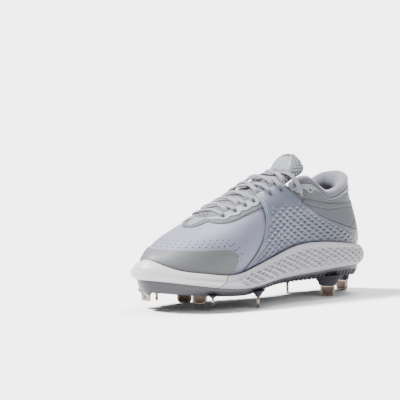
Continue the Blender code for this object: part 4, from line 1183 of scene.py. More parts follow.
class CLEAT_OT_spikes(bpy.types.Operator):
    """Adds the metal blades, each with round corners, softened edges and a sunk field on both faces."""

    bl_idname = "cleat.spikes"
    bl_label = "Spikes"

    def execute(self, context):
        for number, spike in enumerate(spikes(), 1):
            self.add_blade(number, spike)
        return {"FINISHED"}

    def flat_faces(self, bm):
        """The largest face on either side of the blade."""
        sides = [face for face in bm.faces if abs(face.normal.y) > 0.9]
        return sorted(sides, key=lambda face: -face.calc_area())[:2]

    def add_blade(self, number, spike):
        half, corner = SPIKE_WIDTH / 2, SPIKE_CORNER
        top = spike_seat(spike) - spike["lift"]
        foot = 0.96 * half
        profile = [(-half, top), (-foot, corner)]
        for i in range(1, 8):
            angle = math.pi / 2 * i / 7
            profile.append((-foot + corner * (1 - math.cos(angle)), corner * (1 - math.sin(angle))))
        profile += [(-x, z) for x, z in profile[::-1]]
        bm = bmesh.new()
        recess = bm.verts.layers.float.new("recess")
        face = bm.faces.new([bm.verts.new((x, -SPIKE_THICKNESS / 2, z)) for x, z in profile])
        made = bmesh.ops.extrude_face_region(bm, geom=[face])
        far = [item for item in made["geom"] if isinstance(item, bmesh.types.BMVert)]
        bmesh.ops.translate(bm, verts=far, vec=(0, SPIKE_THICKNESS, 0))
        bmesh.ops.recalc_face_normals(bm, faces=bm.faces)
        faces = [f for f in bm.faces if abs(f.normal.y) > 0.9]
        bmesh.ops.inset_region(bm, faces=faces, thickness=0.5 * MM, depth=0)
        rims = [edge for edge in bm.edges if edge.is_manifold and edge.calc_face_angle(0) > 0.6]
        rounding = {"affect": "EDGES", "segments": 2, "profile": 0.5, "material": -1, "clamp_overlap": True}
        bmesh.ops.bevel(bm, geom=rims, offset=0.22 * MM, **rounding)
        bmesh.ops.inset_region(bm, faces=self.flat_faces(bm), thickness=1.3 * MM, depth=0)
        bmesh.ops.inset_region(bm, faces=self.flat_faces(bm), thickness=0.35 * MM, depth=-0.35 * MM)
        for f in self.flat_faces(bm):
            for vert in f.verts:
                vert[recess] = 1.0
        turn = Matrix.Rotation(math.radians(spike["turn"]), 4, "Z")
        spot = Vector((spike["along"] * LENGTH, spike["across"] * WIDTH, spike["lift"]))
        bmesh.ops.transform(bm, matrix=Matrix.Translation(spot) @ turn, verts=bm.verts)
        node = f"spike_{number}"
        finish = found("spike_metal", metal_finish)
        finish_piece(bm, f"blade_{number}", [finish], [node], sharp=30)


# The upper

HOLE_PITCH = 6.6 * MM
HOLE_BEND = 13 * MM
HOLE_ROWS = ((2.6 * MM, 0.0, 0.0), (5.2 * MM, 0.5, 2.2 * MM), (8.0 * MM, 0.0, 3.2 * MM))
HOLE_RADII = (0.90 * MM, 0.80 * MM, 0.80 * MM)


def vamp_relief(s, v):
    """Soft lines pressed into the vamp beside the eyestay, and a faint flex crease behind the toe."""
    row = row_of(s)
    low = v_eyestay(s)
    down = (low - v) * v_rise(s)
    zone = smooth_step((row - 6.0) / 0.4) * smooth_step((7.9 - row) / 0.8)
    lines = 0.0
    for at in (3.2, 5.4, 7.6):
        lines = lines + np.exp(-(((down - at * MM - 1.5 * MM * (7.5 - row)) / (0.45 * MM)) ** 2))
    crease = np.exp(-(((row - 8.62 - 0.25 * (v - 0.6)) / 0.16) ** 2)) * smooth_step((v - 0.5) / 0.3)
    second = np.exp(-(((row - 9.15 - 0.2 * (v - 0.6)) / 0.12) ** 2)) * smooth_step((v - 0.62) / 0.2)
    return 0.22 * MM * lines * zone - 0.18 * MM * crease - 0.10 * MM * second


def upper_shape(s, level):
    v = v_edge(s) * level
    return skin(s, v, vamp_relief(s, v))


class CLEAT_OT_upper(bpy.types.Operator):
    """Adds the grained upper with its textile lining."""

    bl_idname = "cleat.upper"
    bl_label = "Upper"

    def execute(self, context):
        rows = np.concatenate(
            [
                side_places(0, THROAT_CURVE_ROW, 0.075),
                throat_curve(25),
                side_places(THROAT_END_ROW, ROWS, 0.0625)[1:],
            ]
        )
        places = np.concatenate([rows, RING - rows[-2::-1]])
        bm = bmesh.new()
        flat = lambda s, level: wall_pattern(s, v_edge(s) * level)
        shaped_grid(bm, places, even(0, 1, 60), upper_shape, flat)
        vamp = coated("vamp_synthetic", "vamp", 1.25 * MM, 0.14 * MM, 0.50)
        lining = found("collar_textile", knit_finish, "collar_textile", tone("collar"))
        finish_piece(bm, "upper_shell", [vamp, lining], ["upper"], wall=WALL)
        self.add_perforations()
        return {"FINISHED"}

    def add_perforations(self):
        """Three staggered rows of punched holes that follow the toe overlay's upper edge."""
        bm = bmesh.new()
        base = TOE_OVERLAY_HEIGHT * TOP_HEIGHT
        path = np.concatenate([side_places(12.0, 7.9, 0.02), side_places(7.9, 7.55, 0.01)[1:]])
        bend = smooth_step((7.95 - path) / 0.4) * HOLE_BEND
        line = skin(path, v_at_height(path, base + HOLE_ROWS[0][0] - bend))
        far = np.concatenate([[0], np.cumsum(np.linalg.norm(np.diff(line, axis=0), axis=-1))])
        for number, (height, start, last) in enumerate(HOLE_ROWS):
            for i in range(int(far[-1] / HOLE_PITCH) + 1):
                at = (i + start) * HOLE_PITCH
                if at > far[-1]:
                    continue
                row = float(np.interp(at, far, path))
                drop = float(np.interp(at, far, bend))
                side_step = last * drop / HOLE_BEND / (LENGTH / ROWS)
                z = base + height - drop * (1 - 0.12 * number)
                for s in {row - side_step, RING - row + side_step}:
                    self.add_hole(bm, s, z, HOLE_RADII[number])
        dark = found("hole_shadow", plain_finish, "hole_shadow", (0.03, 0.03, 0.04), 0.9)
        finish_piece(bm, "vamp_perforations", [dark])

    def add_hole(self, bm, s, z, radius):
        s = np.array([s])
        v = v_at_height(s, np.array([z]))
        spot = Vector(skin(s, v, vamp_relief(s, v) - 0.10 * MM)[0])
        turn = Vector(outward(s, v)[0]).to_track_quat("Z", "Y").to_matrix().to_4x4()
        bmesh.ops.create_cone(
            bm,
            cap_ends=True,
            segments=12,
            radius1=radius * 0.7,
            radius2=radius,
            depth=0.26 * MM,
            matrix=Matrix.Translation(spot) @ turn,
        )


def overlay_shape(low, high, base, height, edge=0.8 * MM, ends=None):
    """A raised layer between two lines of v: full height inside, rounded down to its borders."""

    def shape(s, level):
        v_low, v_high = low(s), high(s)
        near = np.minimum(level, 1 - level) * wall_length(s, v_low, v_high)
        if ends is not None:
            near = np.minimum(near, ends(s))
        lift = base(s, level) + height(s, level) * rounded(near / edge)
        return skin(s, v_low + (v_high - v_low) * level, lift)

    return shape


def v_toe_low(s):
    base = rim(s) + GAP
    share = np.clip((row_of(s) - TOE_OVERLAY_START) / 0.5, 0, 1)
    lift = 0.62 * (TOE_OVERLAY_HEIGHT * TOP_HEIGHT - base)
    return v_at_height(s, base + lift * (1 - np.sqrt(1 - (1 - share) ** 2)))


def v_toe_high(s):
    base = rim(s) + GAP
    share = np.clip((row_of(s) - TOE_OVERLAY_START) / 0.6, 0, 1)
    full = TOE_OVERLAY_HEIGHT * TOP_HEIGHT - base
    grown = 0.62 + 0.38 * np.sqrt(1 - (1 - share) ** 2)
    return v_at_height(s, base + full * grown + 0.4 * MM * (1 - share))


class CLEAT_OT_toe_overlay(bpy.types.Operator):
    """Adds the matte overlay that wraps the toe."""

    bl_idname = "cleat.toe_overlay"
    bl_label = "Toe overlay"

    def execute(self, context):
        start = TOE_OVERLAY_START
        corner = start + 0.6 * (1 - np.cos(np.linspace(0, np.pi / 2, 18)))
        rows = np.concatenate([corner, side_places(start + 0.65, ROWS, 0.07)])
        places = np.concatenate([rows, RING - rows[-2::-1]])
        shape = overlay_shape(
            v_toe_low,
            v_toe_high,
            lambda s, level: 0.0 * s + 0.05 * MM,
            lambda s, level: 0.0 * s + SEAT + OVERLAY - 0.35 * MM,
            1.1 * MM,
            lambda s: (row_of(s) - start) * LENGTH / ROWS,
        )
        bm = bmesh.new()
        shaped_grid(bm, places, crowded(0, 1, 36), shape, strip_pattern(0.03))
        toe = coated("toe_synthetic", "toe", 0.9 * MM, 0.07 * MM, 0.58)
        finish_piece(bm, "toe_overlay_skin", [toe], ["toe_overlay"], wall=0.5 * MM)
        return {"FINISHED"}


# The eyestay, ankle, panel and counter

SCALLOP_TABLE = (
    (0.0, 103.0),
    (1.0, 102.5),
    (2.0, 101.0),
    (2.4, 98.5),
    (2.8, 97.5),
    (3.1, 99.5),
    (3.45, 104.0),
    (3.72, 106.8),
    (3.86, 106.4),
    (3.94, 104.4),
    (4.06, 104.2),
    (4.16, 107.4),
    (4.28, 108.8),
    (4.36, 107.8),
    (4.44, 105.2),
    (4.60, 105.0),
    (4.72, 108.8),
    (5.0, 111.5),
    (5.5, 112.0),
)
RIBBED_BAND = 5.2 * MM


@tabled
def v_scallop(s):
    """Lower edge of the eyestay's smooth top layer: it dips round each eyelet."""
    row = row_of(s)
    rear = v_at_height(s, between(SCALLOP_TABLE, np.minimum(row, 5.5)) * MM)
    dips = 0.0
    for at in EYELET_ROWS[:4]:
        dips = dips + np.exp(-(((row - at) / 0.15) ** 4))
    rise_to = RIBBED_BAND + 1.2 * MM - 2.2 * MM * dips
    front = v_eyestay(s) + rise_to / v_rise(s) * (1 - 0.4 * smooth_step((row - 7.9) / 1.0))
    made = rear + (front - rear) * smooth_step((row - 5.4) / 0.8)
    high = v_edge(s)
    ceiling = np.where(row < THROAT_END_ROW, high - 1.6 * MM / v_rise(s), 1 - 0.4 * MM / v_rise(s))
    return np.minimum(made, ceiling)


def eyelet_spot(row, side):
    """Where an eyelet lies: its place on the ring and its v."""
    s = np.array([row if side > 0 else RING - row])
    return s, v_below(s, v_edge(s), EYELET_INSET)


def eyelet_spots(rows):
    return [eyelet_spot(row, side) for row in rows for side in (1, -1)]


def pressed(s, v, rows, radius, depth):
    """A soft dip round each eyelet at the given rows."""
    made = np.zeros(np.shape(s))
    for at_s, at_v in eyelet_spots(rows):
        du = along_wall(s) - along_wall(at_s)
        dv = (v - at_v) * v_rise(at_s)
        far = np.sqrt(du**2 + dv**2)
        made = np.maximum(made, 1 - smooth_step((far - radius) / (0.9 * MM)))
    return depth * made


def open_edge(s, level, v_low, v_high):
    """Distance to the nearest free border of a layer that closes on the ridge in front of the throat."""
    long = wall_length(s, v_low, v_high)
    over_ridge = row_of(s) >= THROAT_END_ROW
    return np.where(over_ridge, level * long, np.minimum(level, 1 - level) * long)


def top_layer_shape(s, level):
    v_low, v_high = v_scallop(s), v_edge(s)
    v = v_low + (v_high - v_low) * level
    near = open_edge(s, level, v_low, v_high)
    lift = SEAT + 0.10 * MM + (OVERLAY - 0.1 * MM) * rounded(near / (0.7 * MM))
    return skin(s, v, lift - pressed(s, v, EYELET_ROWS, 1.3 * MM, 0.55 * MM))


def band_shape(s, level):
    v_low = v_eyestay(s)
    v_high = np.minimum(v_scallop(s) + 1.5 * MM / v_rise(s), 1.0)
    near = level * wall_length(s, v_low, v_high)
    lift = 0.05 * MM + (SEAT + 0.25 * MM) * rounded(near / (0.9 * MM))
    return skin(s, v_low + (v_high - v_low) * level, lift)


def mesh_shape(s, level):
    v_low = v_counter_high(s) - 1.5 * MM / v_rise(s)
    v_high = np.minimum(v_scallop(s) + 1.2 * MM / v_rise(s), v_edge(s))
    return skin(s, v_low + (v_high - v_low) * level, 0.35 * MM + 0.0 * s)


def ribbed_finish(name, colour, pitch, angle, depth, dark):
    """Cloth with raised slanting ribs."""
    made = Finish(name, 0.72)
    place = made.turned(made.pattern_place(), angle)
    ribs = made.waves(place, pitch, "X")
    threads = made.waves(place, 0.6 * MM, "Y")
    fuzz = made.noise(made.object_place(), 0.6 * MM, 2)
    lit = made.blend(made.span(ribs, 0.1, 0.7), shade(colour, dark), shade(colour, 1.04))
    made.set("Base Color", lit)
    made.relief((ribs, depth), (threads, 0.03 * MM), (fuzz, 0.02 * MM))
    made.set("Sheen Weight", 0.15)
    return made.material


def add_stitches(bm, path, normals, pitch, size):
    """Small oval stitches along a line of points, lying on the surface."""
    steps = np.linalg.norm(np.diff(path, axis=0), axis=-1)
    far = np.concatenate([[0], np.cumsum(steps)])
    for at in np.arange(pitch / 2, far[-1], pitch):
        spot = Vector([np.interp(at, far, path[:, k]) for k in range(3)])
        ahead = Vector([np.interp(min(at + pitch / 2, far[-1]), far, path[:, k]) for k in range(3)]) - spot
        up = Vector([np.interp(at, far, normals[:, k]) for k in range(3)]).normalized()
        if ahead.length < 1e-7:
            continue
        ahead = (ahead - up * ahead.dot(up)).normalized()
        side = up.cross(ahead)
        turn = Matrix((ahead, side, up)).transposed().to_4x4()
        place = Matrix.Translation(spot) @ turn @ Matrix.Diagonal((*size, 1.0))
        bmesh.ops.create_icosphere(bm, subdivisions=1, radius=1, matrix=place)


def line_on(s, v, offset):
    return skin(s, v, offset), outward(s, v)


class CLEAT_OT_eyestay(bpy.types.Operator):
    """Adds the eyestay: a ribbed border, a smooth scalloped layer with the eyelets, and its stitching."""

    bl_idname = "cleat.eyestay"
    bl_label = "Eyestay"

    def execute(self, context):
        finish = coated("eyestay_synthetic", "eyestay", 0.9 * MM, 0.045 * MM, 0.5)
        bm = bmesh.new()
        front = side_places(0, 3.6, 0.06)
        fine = side_places(3.6, 4.9, 0.02)[1:]
        middle_rows = side_places(4.9, THROAT_CURVE_ROW, 0.04)[1:]
        curve = throat_curve(30)
        wrap = side_places(THROAT_END_ROW, 9.05, 0.04)[1:]
        rows = np.concatenate([front, fine, middle_rows, curve, wrap])
        places = np.concatenate([-rows[:0:-1], rows])
        flat = lambda s, level: wall_pattern(s, v_scallop(s) + (v_edge(s) - v_scallop(s)) * level)

        # Painted shade: a thin dark line along the top layer's lower edge.
        def line(s, level):
            above = level * wall_length(s, v_scallop(s), v_edge(s))
            return 1 - smooth_step((above - 0.2 * MM) / (0.4 * MM))

        shaped_grid(bm, places, crowded(0, 1, 26), top_layer_shape, flat, {"seam": line})
        finish_piece(bm, "eyestay_top", [finish], ["eyestay"], wall=0.45 * MM)
        self.add_band(rows)
        self.add_holes()
        return {"FINISHED"}

    def add_band(self, rows):
        bm = bmesh.new()
        rows = np.array([row for row in rows if row >= 5.9] + [9.08, 9.11])

        def flat(s, level):
            v_low = v_eyestay(s)
            return np.stack([along_wall(s), (v_low - 0.5 + level * 0.1) * v_rise(s)], axis=-1)

        for places in (rows, RING - rows[::-1]):
            shaped_grid(bm, places, crowded(0, 1, 14), band_shape, flat)
        colour = shade(tone("eyestay"), 0.62)
        ribbed = found(
            "eyestay_ribbed", ribbed_finish, "eyestay_ribbed", colour, 1.6 * MM, -35, 0.3 * MM, 0.35
        )
        finish_piece(bm, "eyestay_border", [ribbed], wall=0.4 * MM)
        thread = found("stitch_thread", plain_finish, "stitch_thread", tone("thread"), 0.8)
        bm = bmesh.new()
        lines = []
        for places in (rows[rows > 6.2], RING - rows[rows > 6.2]):
            v = np.minimum(v_eyestay(places) + 1.1 * MM / v_rise(places), 0.998)
            lines.append(line_on(places, v, SEAT + 0.32 * MM))
        for path, normals in lines:
            add_stitches(bm, path, normals, 1.9 * MM, (0.7 * MM, 0.34 * MM, 0.28 * MM))
        finish_piece(bm, "eyestay_stitches", [thread])

    def add_holes(self):
        """Dark discs painted with the shadow inside the punched eyelets."""
        bm = bmesh.new()
        for s, v in eyelet_spots(EYELET_ROWS):
            covered = 5.2 < row_of(s)[0] < 6.3
            base = SEAT + OVERLAY + (SEAT + SADDLE if covered else 0.0) - 0.42 * MM
            v = v - 0.9 * MM / v_rise(s)
            spot = Vector(skin(s, v, base + 0.1 * MM)[0])
            turn = Vector(outward(s, v)[0]).to_track_quat("Z", "Y").to_matrix().to_4x4()
            bmesh.ops.create_cone(
                bm,
                cap_ends=True,
                segments=20,
                radius1=0.7 * sizes().eyelet_radius,
                radius2=sizes().eyelet_radius,
                depth=0.3 * MM,
                matrix=Matrix.Translation(spot) @ turn,
            )
        dark = found("hole_shadow", plain_finish, "hole_shadow", (0.035, 0.035, 0.045), 0.9)
        finish_piece(bm, "eyelet_holes", [dark])


class CLEAT_OT_ankle(bpy.types.Operator):
    """Adds the ribbed mesh band between the counter and the collar."""

    bl_idname = "cleat.ankle"
    bl_label = "Ankle mesh"

    def execute(self, context):
        rows = side_places(0, 5.4, 0.04)
        places = np.concatenate([-rows[:0:-1], rows])
        bm = bmesh.new()
        flat = lambda s, level: np.stack([along_wall(s), mesh_shape(s, level)[:, 2]], axis=-1)
        shaped_grid(bm, places, even(0, 1, 14), mesh_shape, flat)
        colour = shade(tone("eyestay"), 0.54)
        ribbed = found("ankle_mesh", ribbed_finish, "ankle_mesh", colour, 2.1 * MM, -52, 0.45 * MM, 0.3)
        finish_piece(bm, "ankle_mesh_band", [ribbed], wall=0.3 * MM)
        return {"FINISHED"}


def panel_place(s, level):
    """The leaned place and v of a point of the side panel."""
    leaned = panel_slant(s, level)
    low = v_above_rim(leaned)
    return leaned, low + (v_panel(leaned) - low) * level


def panel_zone(s, level):
    """How deep the diamonds are at a point of the side panel, from 0 to 1."""
    leaned, v = panel_place(s, level)
    row = row_of(leaned)
    z = bare(leaned, v)[:, 2]
    strap = smooth_step((97 * MM - z) / (9 * MM))
    front = smooth_step((PANEL_FRONT_LOW - row_of(s) - 0.1) / 0.45)
    length = wall_length(leaned, v_above_rim(leaned), v_panel(leaned))
    upper_edge = smooth_step(((1 - level) * length - 3 * MM) / (6 * MM))
    lower_edge = smooth_step((level * length - 0.4 * MM) / (2.0 * MM))
    heel = 0.14 + 0.86 * smooth_step((row - 1.7) / 2.3)
    return strap * front * upper_edge * lower_edge * heel


PANEL_SLOPE = 1.8


def net(u, v, cell):
    """A net of ridges round sunk diamonds: 1 along the ridges and 0 in the middle of each diamond."""
    a = (u + v * PANEL_SLOPE) / cell
    b = (u - v * PANEL_SLOPE) / cell
    far = np.maximum(np.abs(a - np.round(a)), np.abs(b - np.round(b)))
    return smooth_step((far - 0.08) / 0.40)


def panel_diamonds(s, level):
    leaned, v = panel_place(s, level)
    z = bare(leaned, v)[:, 2]
    return net(along_wall(leaned), z, sizes().panel_cell)


def panel_shape(s, level):
    leaned, v = panel_place(s, level)
    base = over_eyestay(leaned, v)
    length = wall_length(leaned, v_above_rim(leaned), v_panel(leaned))
    ends = (PANEL_FRONT_LOW - row_of(s)) * LENGTH / ROWS
    near = np.minimum(np.minimum(level, 1 - level) * length, ends)
    height = SADDLE * (0.6 + 0.4 * level) - 0.35 * MM
    relief = sizes().panel_relief * panel_zone(s, level) * (panel_diamonds(s, level) - 0.55)
    # A real dip in the surface along the stitched front edge.
    seam = 0.35 * MM * np.exp(-(((ends - 2.3 * MM) / (0.5 * MM)) ** 2))
    hole = pressed(leaned, v, EYELET_ROWS[4:6], 1.3 * MM, 0.6 * MM)
    return skin(leaned, v, base + height * rounded(near / (1.2 * MM)) + relief - seam - hole)


def panel_groove_shade(s, level):
    """Painted shade in the sunk diamonds, and towards the heel."""
    leaned = panel_slant(s, level)
    sunk = 0.33 * panel_zone(s, level) * (1 - panel_diamonds(s, level))
    return sunk + 0.9 * (1 - smooth_step((row_of(leaned) - 2.1) / 3.4)) * (1 - sunk)


def panel_finish():
    """A moulded film with a satin gloss; painted shade darkens the sunk diamonds and the heel end, so the
    ridges look lighter.
    """
    made = Finish("panel_synthetic", 0.40)
    colour = tone("panel")
    place = made.object_place()
    cloud = made.noise(place, 24 * MM, 3)
    base = made.blend(made.span(cloud, 0.3, 0.7), shade(colour, 0.95), shade(colour, 1.06))
    # Painted shade from the mask, in the sunk diamonds and towards the heel.
    made.set("Base Color", made.blend(made.mask("seam"), base, shade(colour, 0.30)))
    made.set("Roughness", made.span(made.noise(place, 4 * MM, 3), 0.3, 0.7, 0.34, 0.46))
    made.relief((made.cells(place, 0.9 * MM, 0.5), 0.04 * MM), (made.noise(place, 0.5 * MM), 0.02 * MM))
    made.set("Coat Weight", 0.12)
    made.set("Coat Roughness", 0.3)
    return made.material


class CLEAT_OT_side_panel(bpy.types.Operator):
    """Adds the side panel with its sunk diamonds, smooth strap and stitched front edge."""

    bl_idname = "cleat.side_panel"
    bl_label = "Side panel"

    def execute(self, context):
        rows = side_places(0, PANEL_FRONT_LOW - 0.1, 0.034)
        rows = np.concatenate([rows, PANEL_FRONT_LOW - 0.1 * (1 - np.linspace(0, 1, 10)[1:]) ** 1.5])
        places = np.concatenate([-rows[:0:-1], rows])
        bm = bmesh.new()

        def flat(s, level):
            leaned, v = panel_place(s, level)
            return np.stack([along_wall(leaned), bare(leaned, v)[:, 2]], axis=-1)

        levels = np.unique(np.concatenate([crowded(0, 1, 30), even(0.02, 0.98, 74)]))
        shaped_grid(bm, places, levels, panel_shape, flat, {"seam": panel_groove_shade})
        finish = found("panel_synthetic", panel_finish)
        finish_piece(bm, "side_panel_skin", [finish], ["side_panel"], wall=0.6 * MM)
        bm = bmesh.new()
        for side in (1, -1):
            level = np.linspace(0.03, 0.95, 160)
            s = np.full_like(level, PANEL_FRONT_LOW - 2.3 * MM / (LENGTH / ROWS)) * side
            leaned, v = panel_place(s, level)
            base = over_eyestay(leaned, v) + SADDLE * (0.6 + 0.4 * level) - 0.55 * MM
            path, normals = line_on(leaned, v, base)
            add_stitches(bm, path, normals, sizes().stitch_pitch, (0.85 * MM, 0.42 * MM, 0.4 * MM))
        thread = found("pale_thread", plain_finish, "pale_thread", shade(tone("eyestay"), 1.9), 0.8)
        finish_piece(bm, "panel_stitches", [thread])
        return {"FINISHED"}


def counter_relief(s, level):
    """The counter's pressed lines: one along its upper edge and one that slants down from the heel."""
    length = wall_length(s, v_counter_low(s), v_counter_high(s))
    down = (1 - level) * length
    row = row_of(s)
    upper = np.exp(-(((down - 5.5 * MM - 1.2 * MM * np.sin(row * 2.2)) / (0.55 * MM)) ** 2))
    z = bare(s, v_counter_low(s) + (v_counter_high(s) - v_counter_low(s)) * level)[:, 2]
    slant_z = 86 * MM - (row - 0.7) * 11.5 * MM
    ends = smooth_step((row - 0.5) / 0.2) * smooth_step((2.5 - row) / 0.2)
    slanting = np.exp(-(((z - slant_z) / (0.5 * MM)) ** 2)) * ends
    return upper * smooth_step((row - 0.4) / 0.6) + 1.3 * slanting


def counter_shape(s, level):
    v_low, v_high = v_counter_low(s), v_counter_high(s)
    near = np.minimum(level, 1 - level) * wall_length(s, v_low, v_high)
    near = np.minimum(near, (COUNTER_END_ROW - row_of(s)) * LENGTH / ROWS)
    lift = 0.05 * MM + (SEAT + OVERLAY - 0.35 * MM) * rounded(near / (0.9 * MM))
    return skin(s, v_low + (v_high - v_low) * level, lift - 0.28 * MM * counter_relief(s, level))


class CLEAT_OT_counter(bpy.types.Operator):
    """Adds the smooth wrap round the heel."""

    bl_idname = "cleat.counter"
    bl_label = "Heel counter"

    def execute(self, context):
        rows = side_places(0, COUNTER_END_ROW, 0.04)
        places = np.concatenate([-rows[:0:-1], rows])
        bm = bmesh.new()
        # Painted shade in the pressed lines.
        marks = {"seam": lambda s, level: 0.5 * counter_relief(s, level)}
        shaped_grid(bm, places, crowded(0, 1, 60), counter_shape, strip_pattern(0.03), marks)
        finish = coated("counter_synthetic", "counter", 0.8 * MM, 0.035 * MM, 0.52)
        finish_piece(bm, "heel_counter_skin", [finish], ["heel_counter"], wall=0.5 * MM)
        return {"FINISHED"}


# The collar, tongue, laces and insole


def v_down(s, distance):
    """Where the wall is at distances below the collar's crest, for many points on few places."""
    unique, back = np.unique(s, return_inverse=True)
    tops = v_crest(unique)
    shares = np.linspace(1, 0, 81)
    points = bare(np.repeat(unique[:, None], len(shares), axis=1), tops[:, None] * shares)
    steps = np.linalg.norm(np.diff(points, axis=1), axis=-1)
    gone = np.concatenate([np.zeros((len(unique), 1)), np.cumsum(steps, axis=1)], axis=1)
    made = np.empty(len(s))
    for k in range(len(unique)):
        pick = back == k
        made[pick] = np.interp(distance[pick], gone[k], tops[k] * shares)
    return made


def round_curve(knots, t):
    """A smooth closed curve through knots, each an array over the points, at positions t."""
    knots = np.array(knots)
    count = len(knots)
    i = np.floor(t).astype(int) % count
    f = t - np.floor(t)
    at = np.arange(len(t))
    a, b = knots[(i - 1) % count, at], knots[i, at]
    c, d = knots[(i + 1) % count, at], knots[(i + 2) % count, at]
    return 0.5 * (2 * b + (c - a) * f + (2 * a - 5 * b + 4 * c - d) * f * f + (3 * b - a - 3 * c + d) * f**3)


COLLAR_END = PAD_END_ROW - 0.06


def collar_shape(s, level):
    """The padded roll: out over the crest, down inside the heel, and back up behind the lining."""
    row = row_of(s)
    fade = smooth_step((PAD_END_ROW - row) / 1.6)
    pad = COLLAR_PAD * (0.2 + 0.8 * fade)
    depth = COLLAR_BAND * 1.4 + (COLLAR_DEPTH - COLLAR_BAND * 1.4) * fade
    backing = -(WALL + SEAT) + 0 * pad
    zero = 0 * pad
    down = [
        COLLAR_BAND + zero,
        COLLAR_BAND * 0.75 + zero,
        COLLAR_BAND * 0.35 + zero,
        zero,
        0.4 * MM + zero,
        0.14 * depth,
        0.35 * depth,
        0.65 * depth,
        depth,
        depth,
        (COLLAR_BAND + depth) / 2,
        COLLAR_BAND + zero,
    ]
    offset = [
        0.2 * MM + zero,
        1.3 * MM + zero,
        1.5 * MM + zero,
        -0.2 * pad,
        backing - 0.25 * pad,
        backing - 0.75 * pad,
        backing - pad,
        backing - 0.7 * pad,
        backing - 0.9 * MM,
        backing,
        backing,
        backing,
    ]
    down_here = np.maximum(round_curve(down, level), 0.0)
    offset_here = round_curve(offset, level)
    puckers = 0.14 * MM * np.sin(along_wall(s) / (5.5 * MM)) * np.exp(-(((row - 2.7) / 0.7) ** 2))
    inside = smooth_step((level - 4) / 1.5) * smooth_step((8.5 - level) / 1.0)
    return skin(s, v_down(s, down_here), offset_here + puckers * inside)


class CLEAT_OT_collar(bpy.types.Operator):
    """Adds the padded collar roll, covered in soft cloth."""

    bl_idname = "cleat.collar"
    bl_label = "Collar"

    def execute(self, context):
        rows = side_places(0, COLLAR_END, 0.05)
        places = np.concatenate([-rows[:0:-1], rows])
        bm = bmesh.new()

        # Painted shade on the roll's lower outside, where it hangs over the mesh band.
        marks = {"seam": lambda s, level: smooth_step((3.4 - level) / 2.6)}
        shaped_grid(bm, places, even(0, 12, 60), collar_shape, strip_pattern(6 * MM), marks, turned=False)
        close_shell(bm)
        finish = found("collar_textile", knit_finish, "collar_textile", tone("collar"))
        finish_piece(bm, "collar_roll", [finish], ["collar"])
        return {"FINISHED"}


def across_grid(rows, halves, shares, offset):
    """Points over the throat: rows by shares of the half width on either side of the ridge."""
    made = []
    for row, half in zip(rows, halves):
        y = shares * half
        s = np.where(y >= 0, row, RING - row)
        v = np.where(np.abs(y) > 0.05 * MM, v_at_side(s, np.abs(y)), 1.0)
        made.append(skin(s, v, offset))
    return np.array(made)


TONGUE_LINES = 200
TONGUE_FREE_LINES = 80


def tongue_grid(shares):
    """The tongue's middle surface: along the last under the throat, then free above the collar."""
    under_wall = -(WALL + 2 * SEAT)
    low_row = THROAT_END_ROW + TONGUE_TUCK / (LENGTH / ROWS)
    rows = np.linspace(low_row, TONGUE_FREE_ROW, TONGUE_LINES - TONGUE_FREE_LINES)
    halves = between(TONGUE_TABLE, rows) * TONGUE_WIDTH / 2
    grid = list(across_grid(rows, halves, shares, under_wall))
    shape = grid[-1] - grid[-1][len(shares) // 2]
    eased = smooth_rows(shape, 20)
    eased = eased - eased[len(shares) // 2]
    centre = grid[-1][len(shares) // 2].copy()
    heading = centre - grid[-4][len(shares) // 2]
    start_angle = math.atan2(heading[2], -heading[0])
    knots = np.arange(len(TONGUE_TOP) + 1) / len(TONGUE_TOP)
    widths = np.array([1.0, *TONGUE_TOP])
    step = TONGUE_RISE / TONGUE_FREE_LINES
    for number in range(1, TONGUE_FREE_LINES + 1):
        t = number / TONGUE_FREE_LINES
        near = np.exp(-(((knots - t) / 0.11) ** 2))
        width = float((near * widths).sum() / near.sum())
        width *= math.sqrt(max(0.02, 1 - max(0.0, (t - 0.70) / 0.30) ** 3.0))
        turn = TONGUE_LEAN * t
        angle = start_angle + turn
        section = shape + (eased - shape) * smooth_step(3 * t)
        centre = centre + step * np.array([-math.cos(angle), 0, math.sin(angle)])
        lean_x = section[:, 0] * math.cos(turn) + section[:, 2] * math.sin(turn)
        lean_z = -section[:, 0] * math.sin(turn) + section[:, 2] * math.cos(turn)
        arch = 1 + (width - 1) * 0.5
        grid.append(centre + np.stack([lean_x * arch, section[:, 1] * width, lean_z * arch], axis=-1))
    return np.array(grid)


def sampled(grid, line, share_at):
    """Points of a grid at fractional lines and columns."""
    lines, columns = grid.shape[:2]
    a = np.clip(line, 0, lines - 1)
    b = np.clip(share_at, 0, columns - 1)
    i, j = np.minimum(a.astype(int), lines - 2), np.minimum(b.astype(int), columns - 2)
    f, g = (a - i)[:, None], (b - j)[:, None]
    low = grid[i, j] * (1 - f) + grid[i + 1, j] * f
    high = grid[i, j + 1] * (1 - f) + grid[i + 1, j + 1] * f
    return low * (1 - g) + high * g


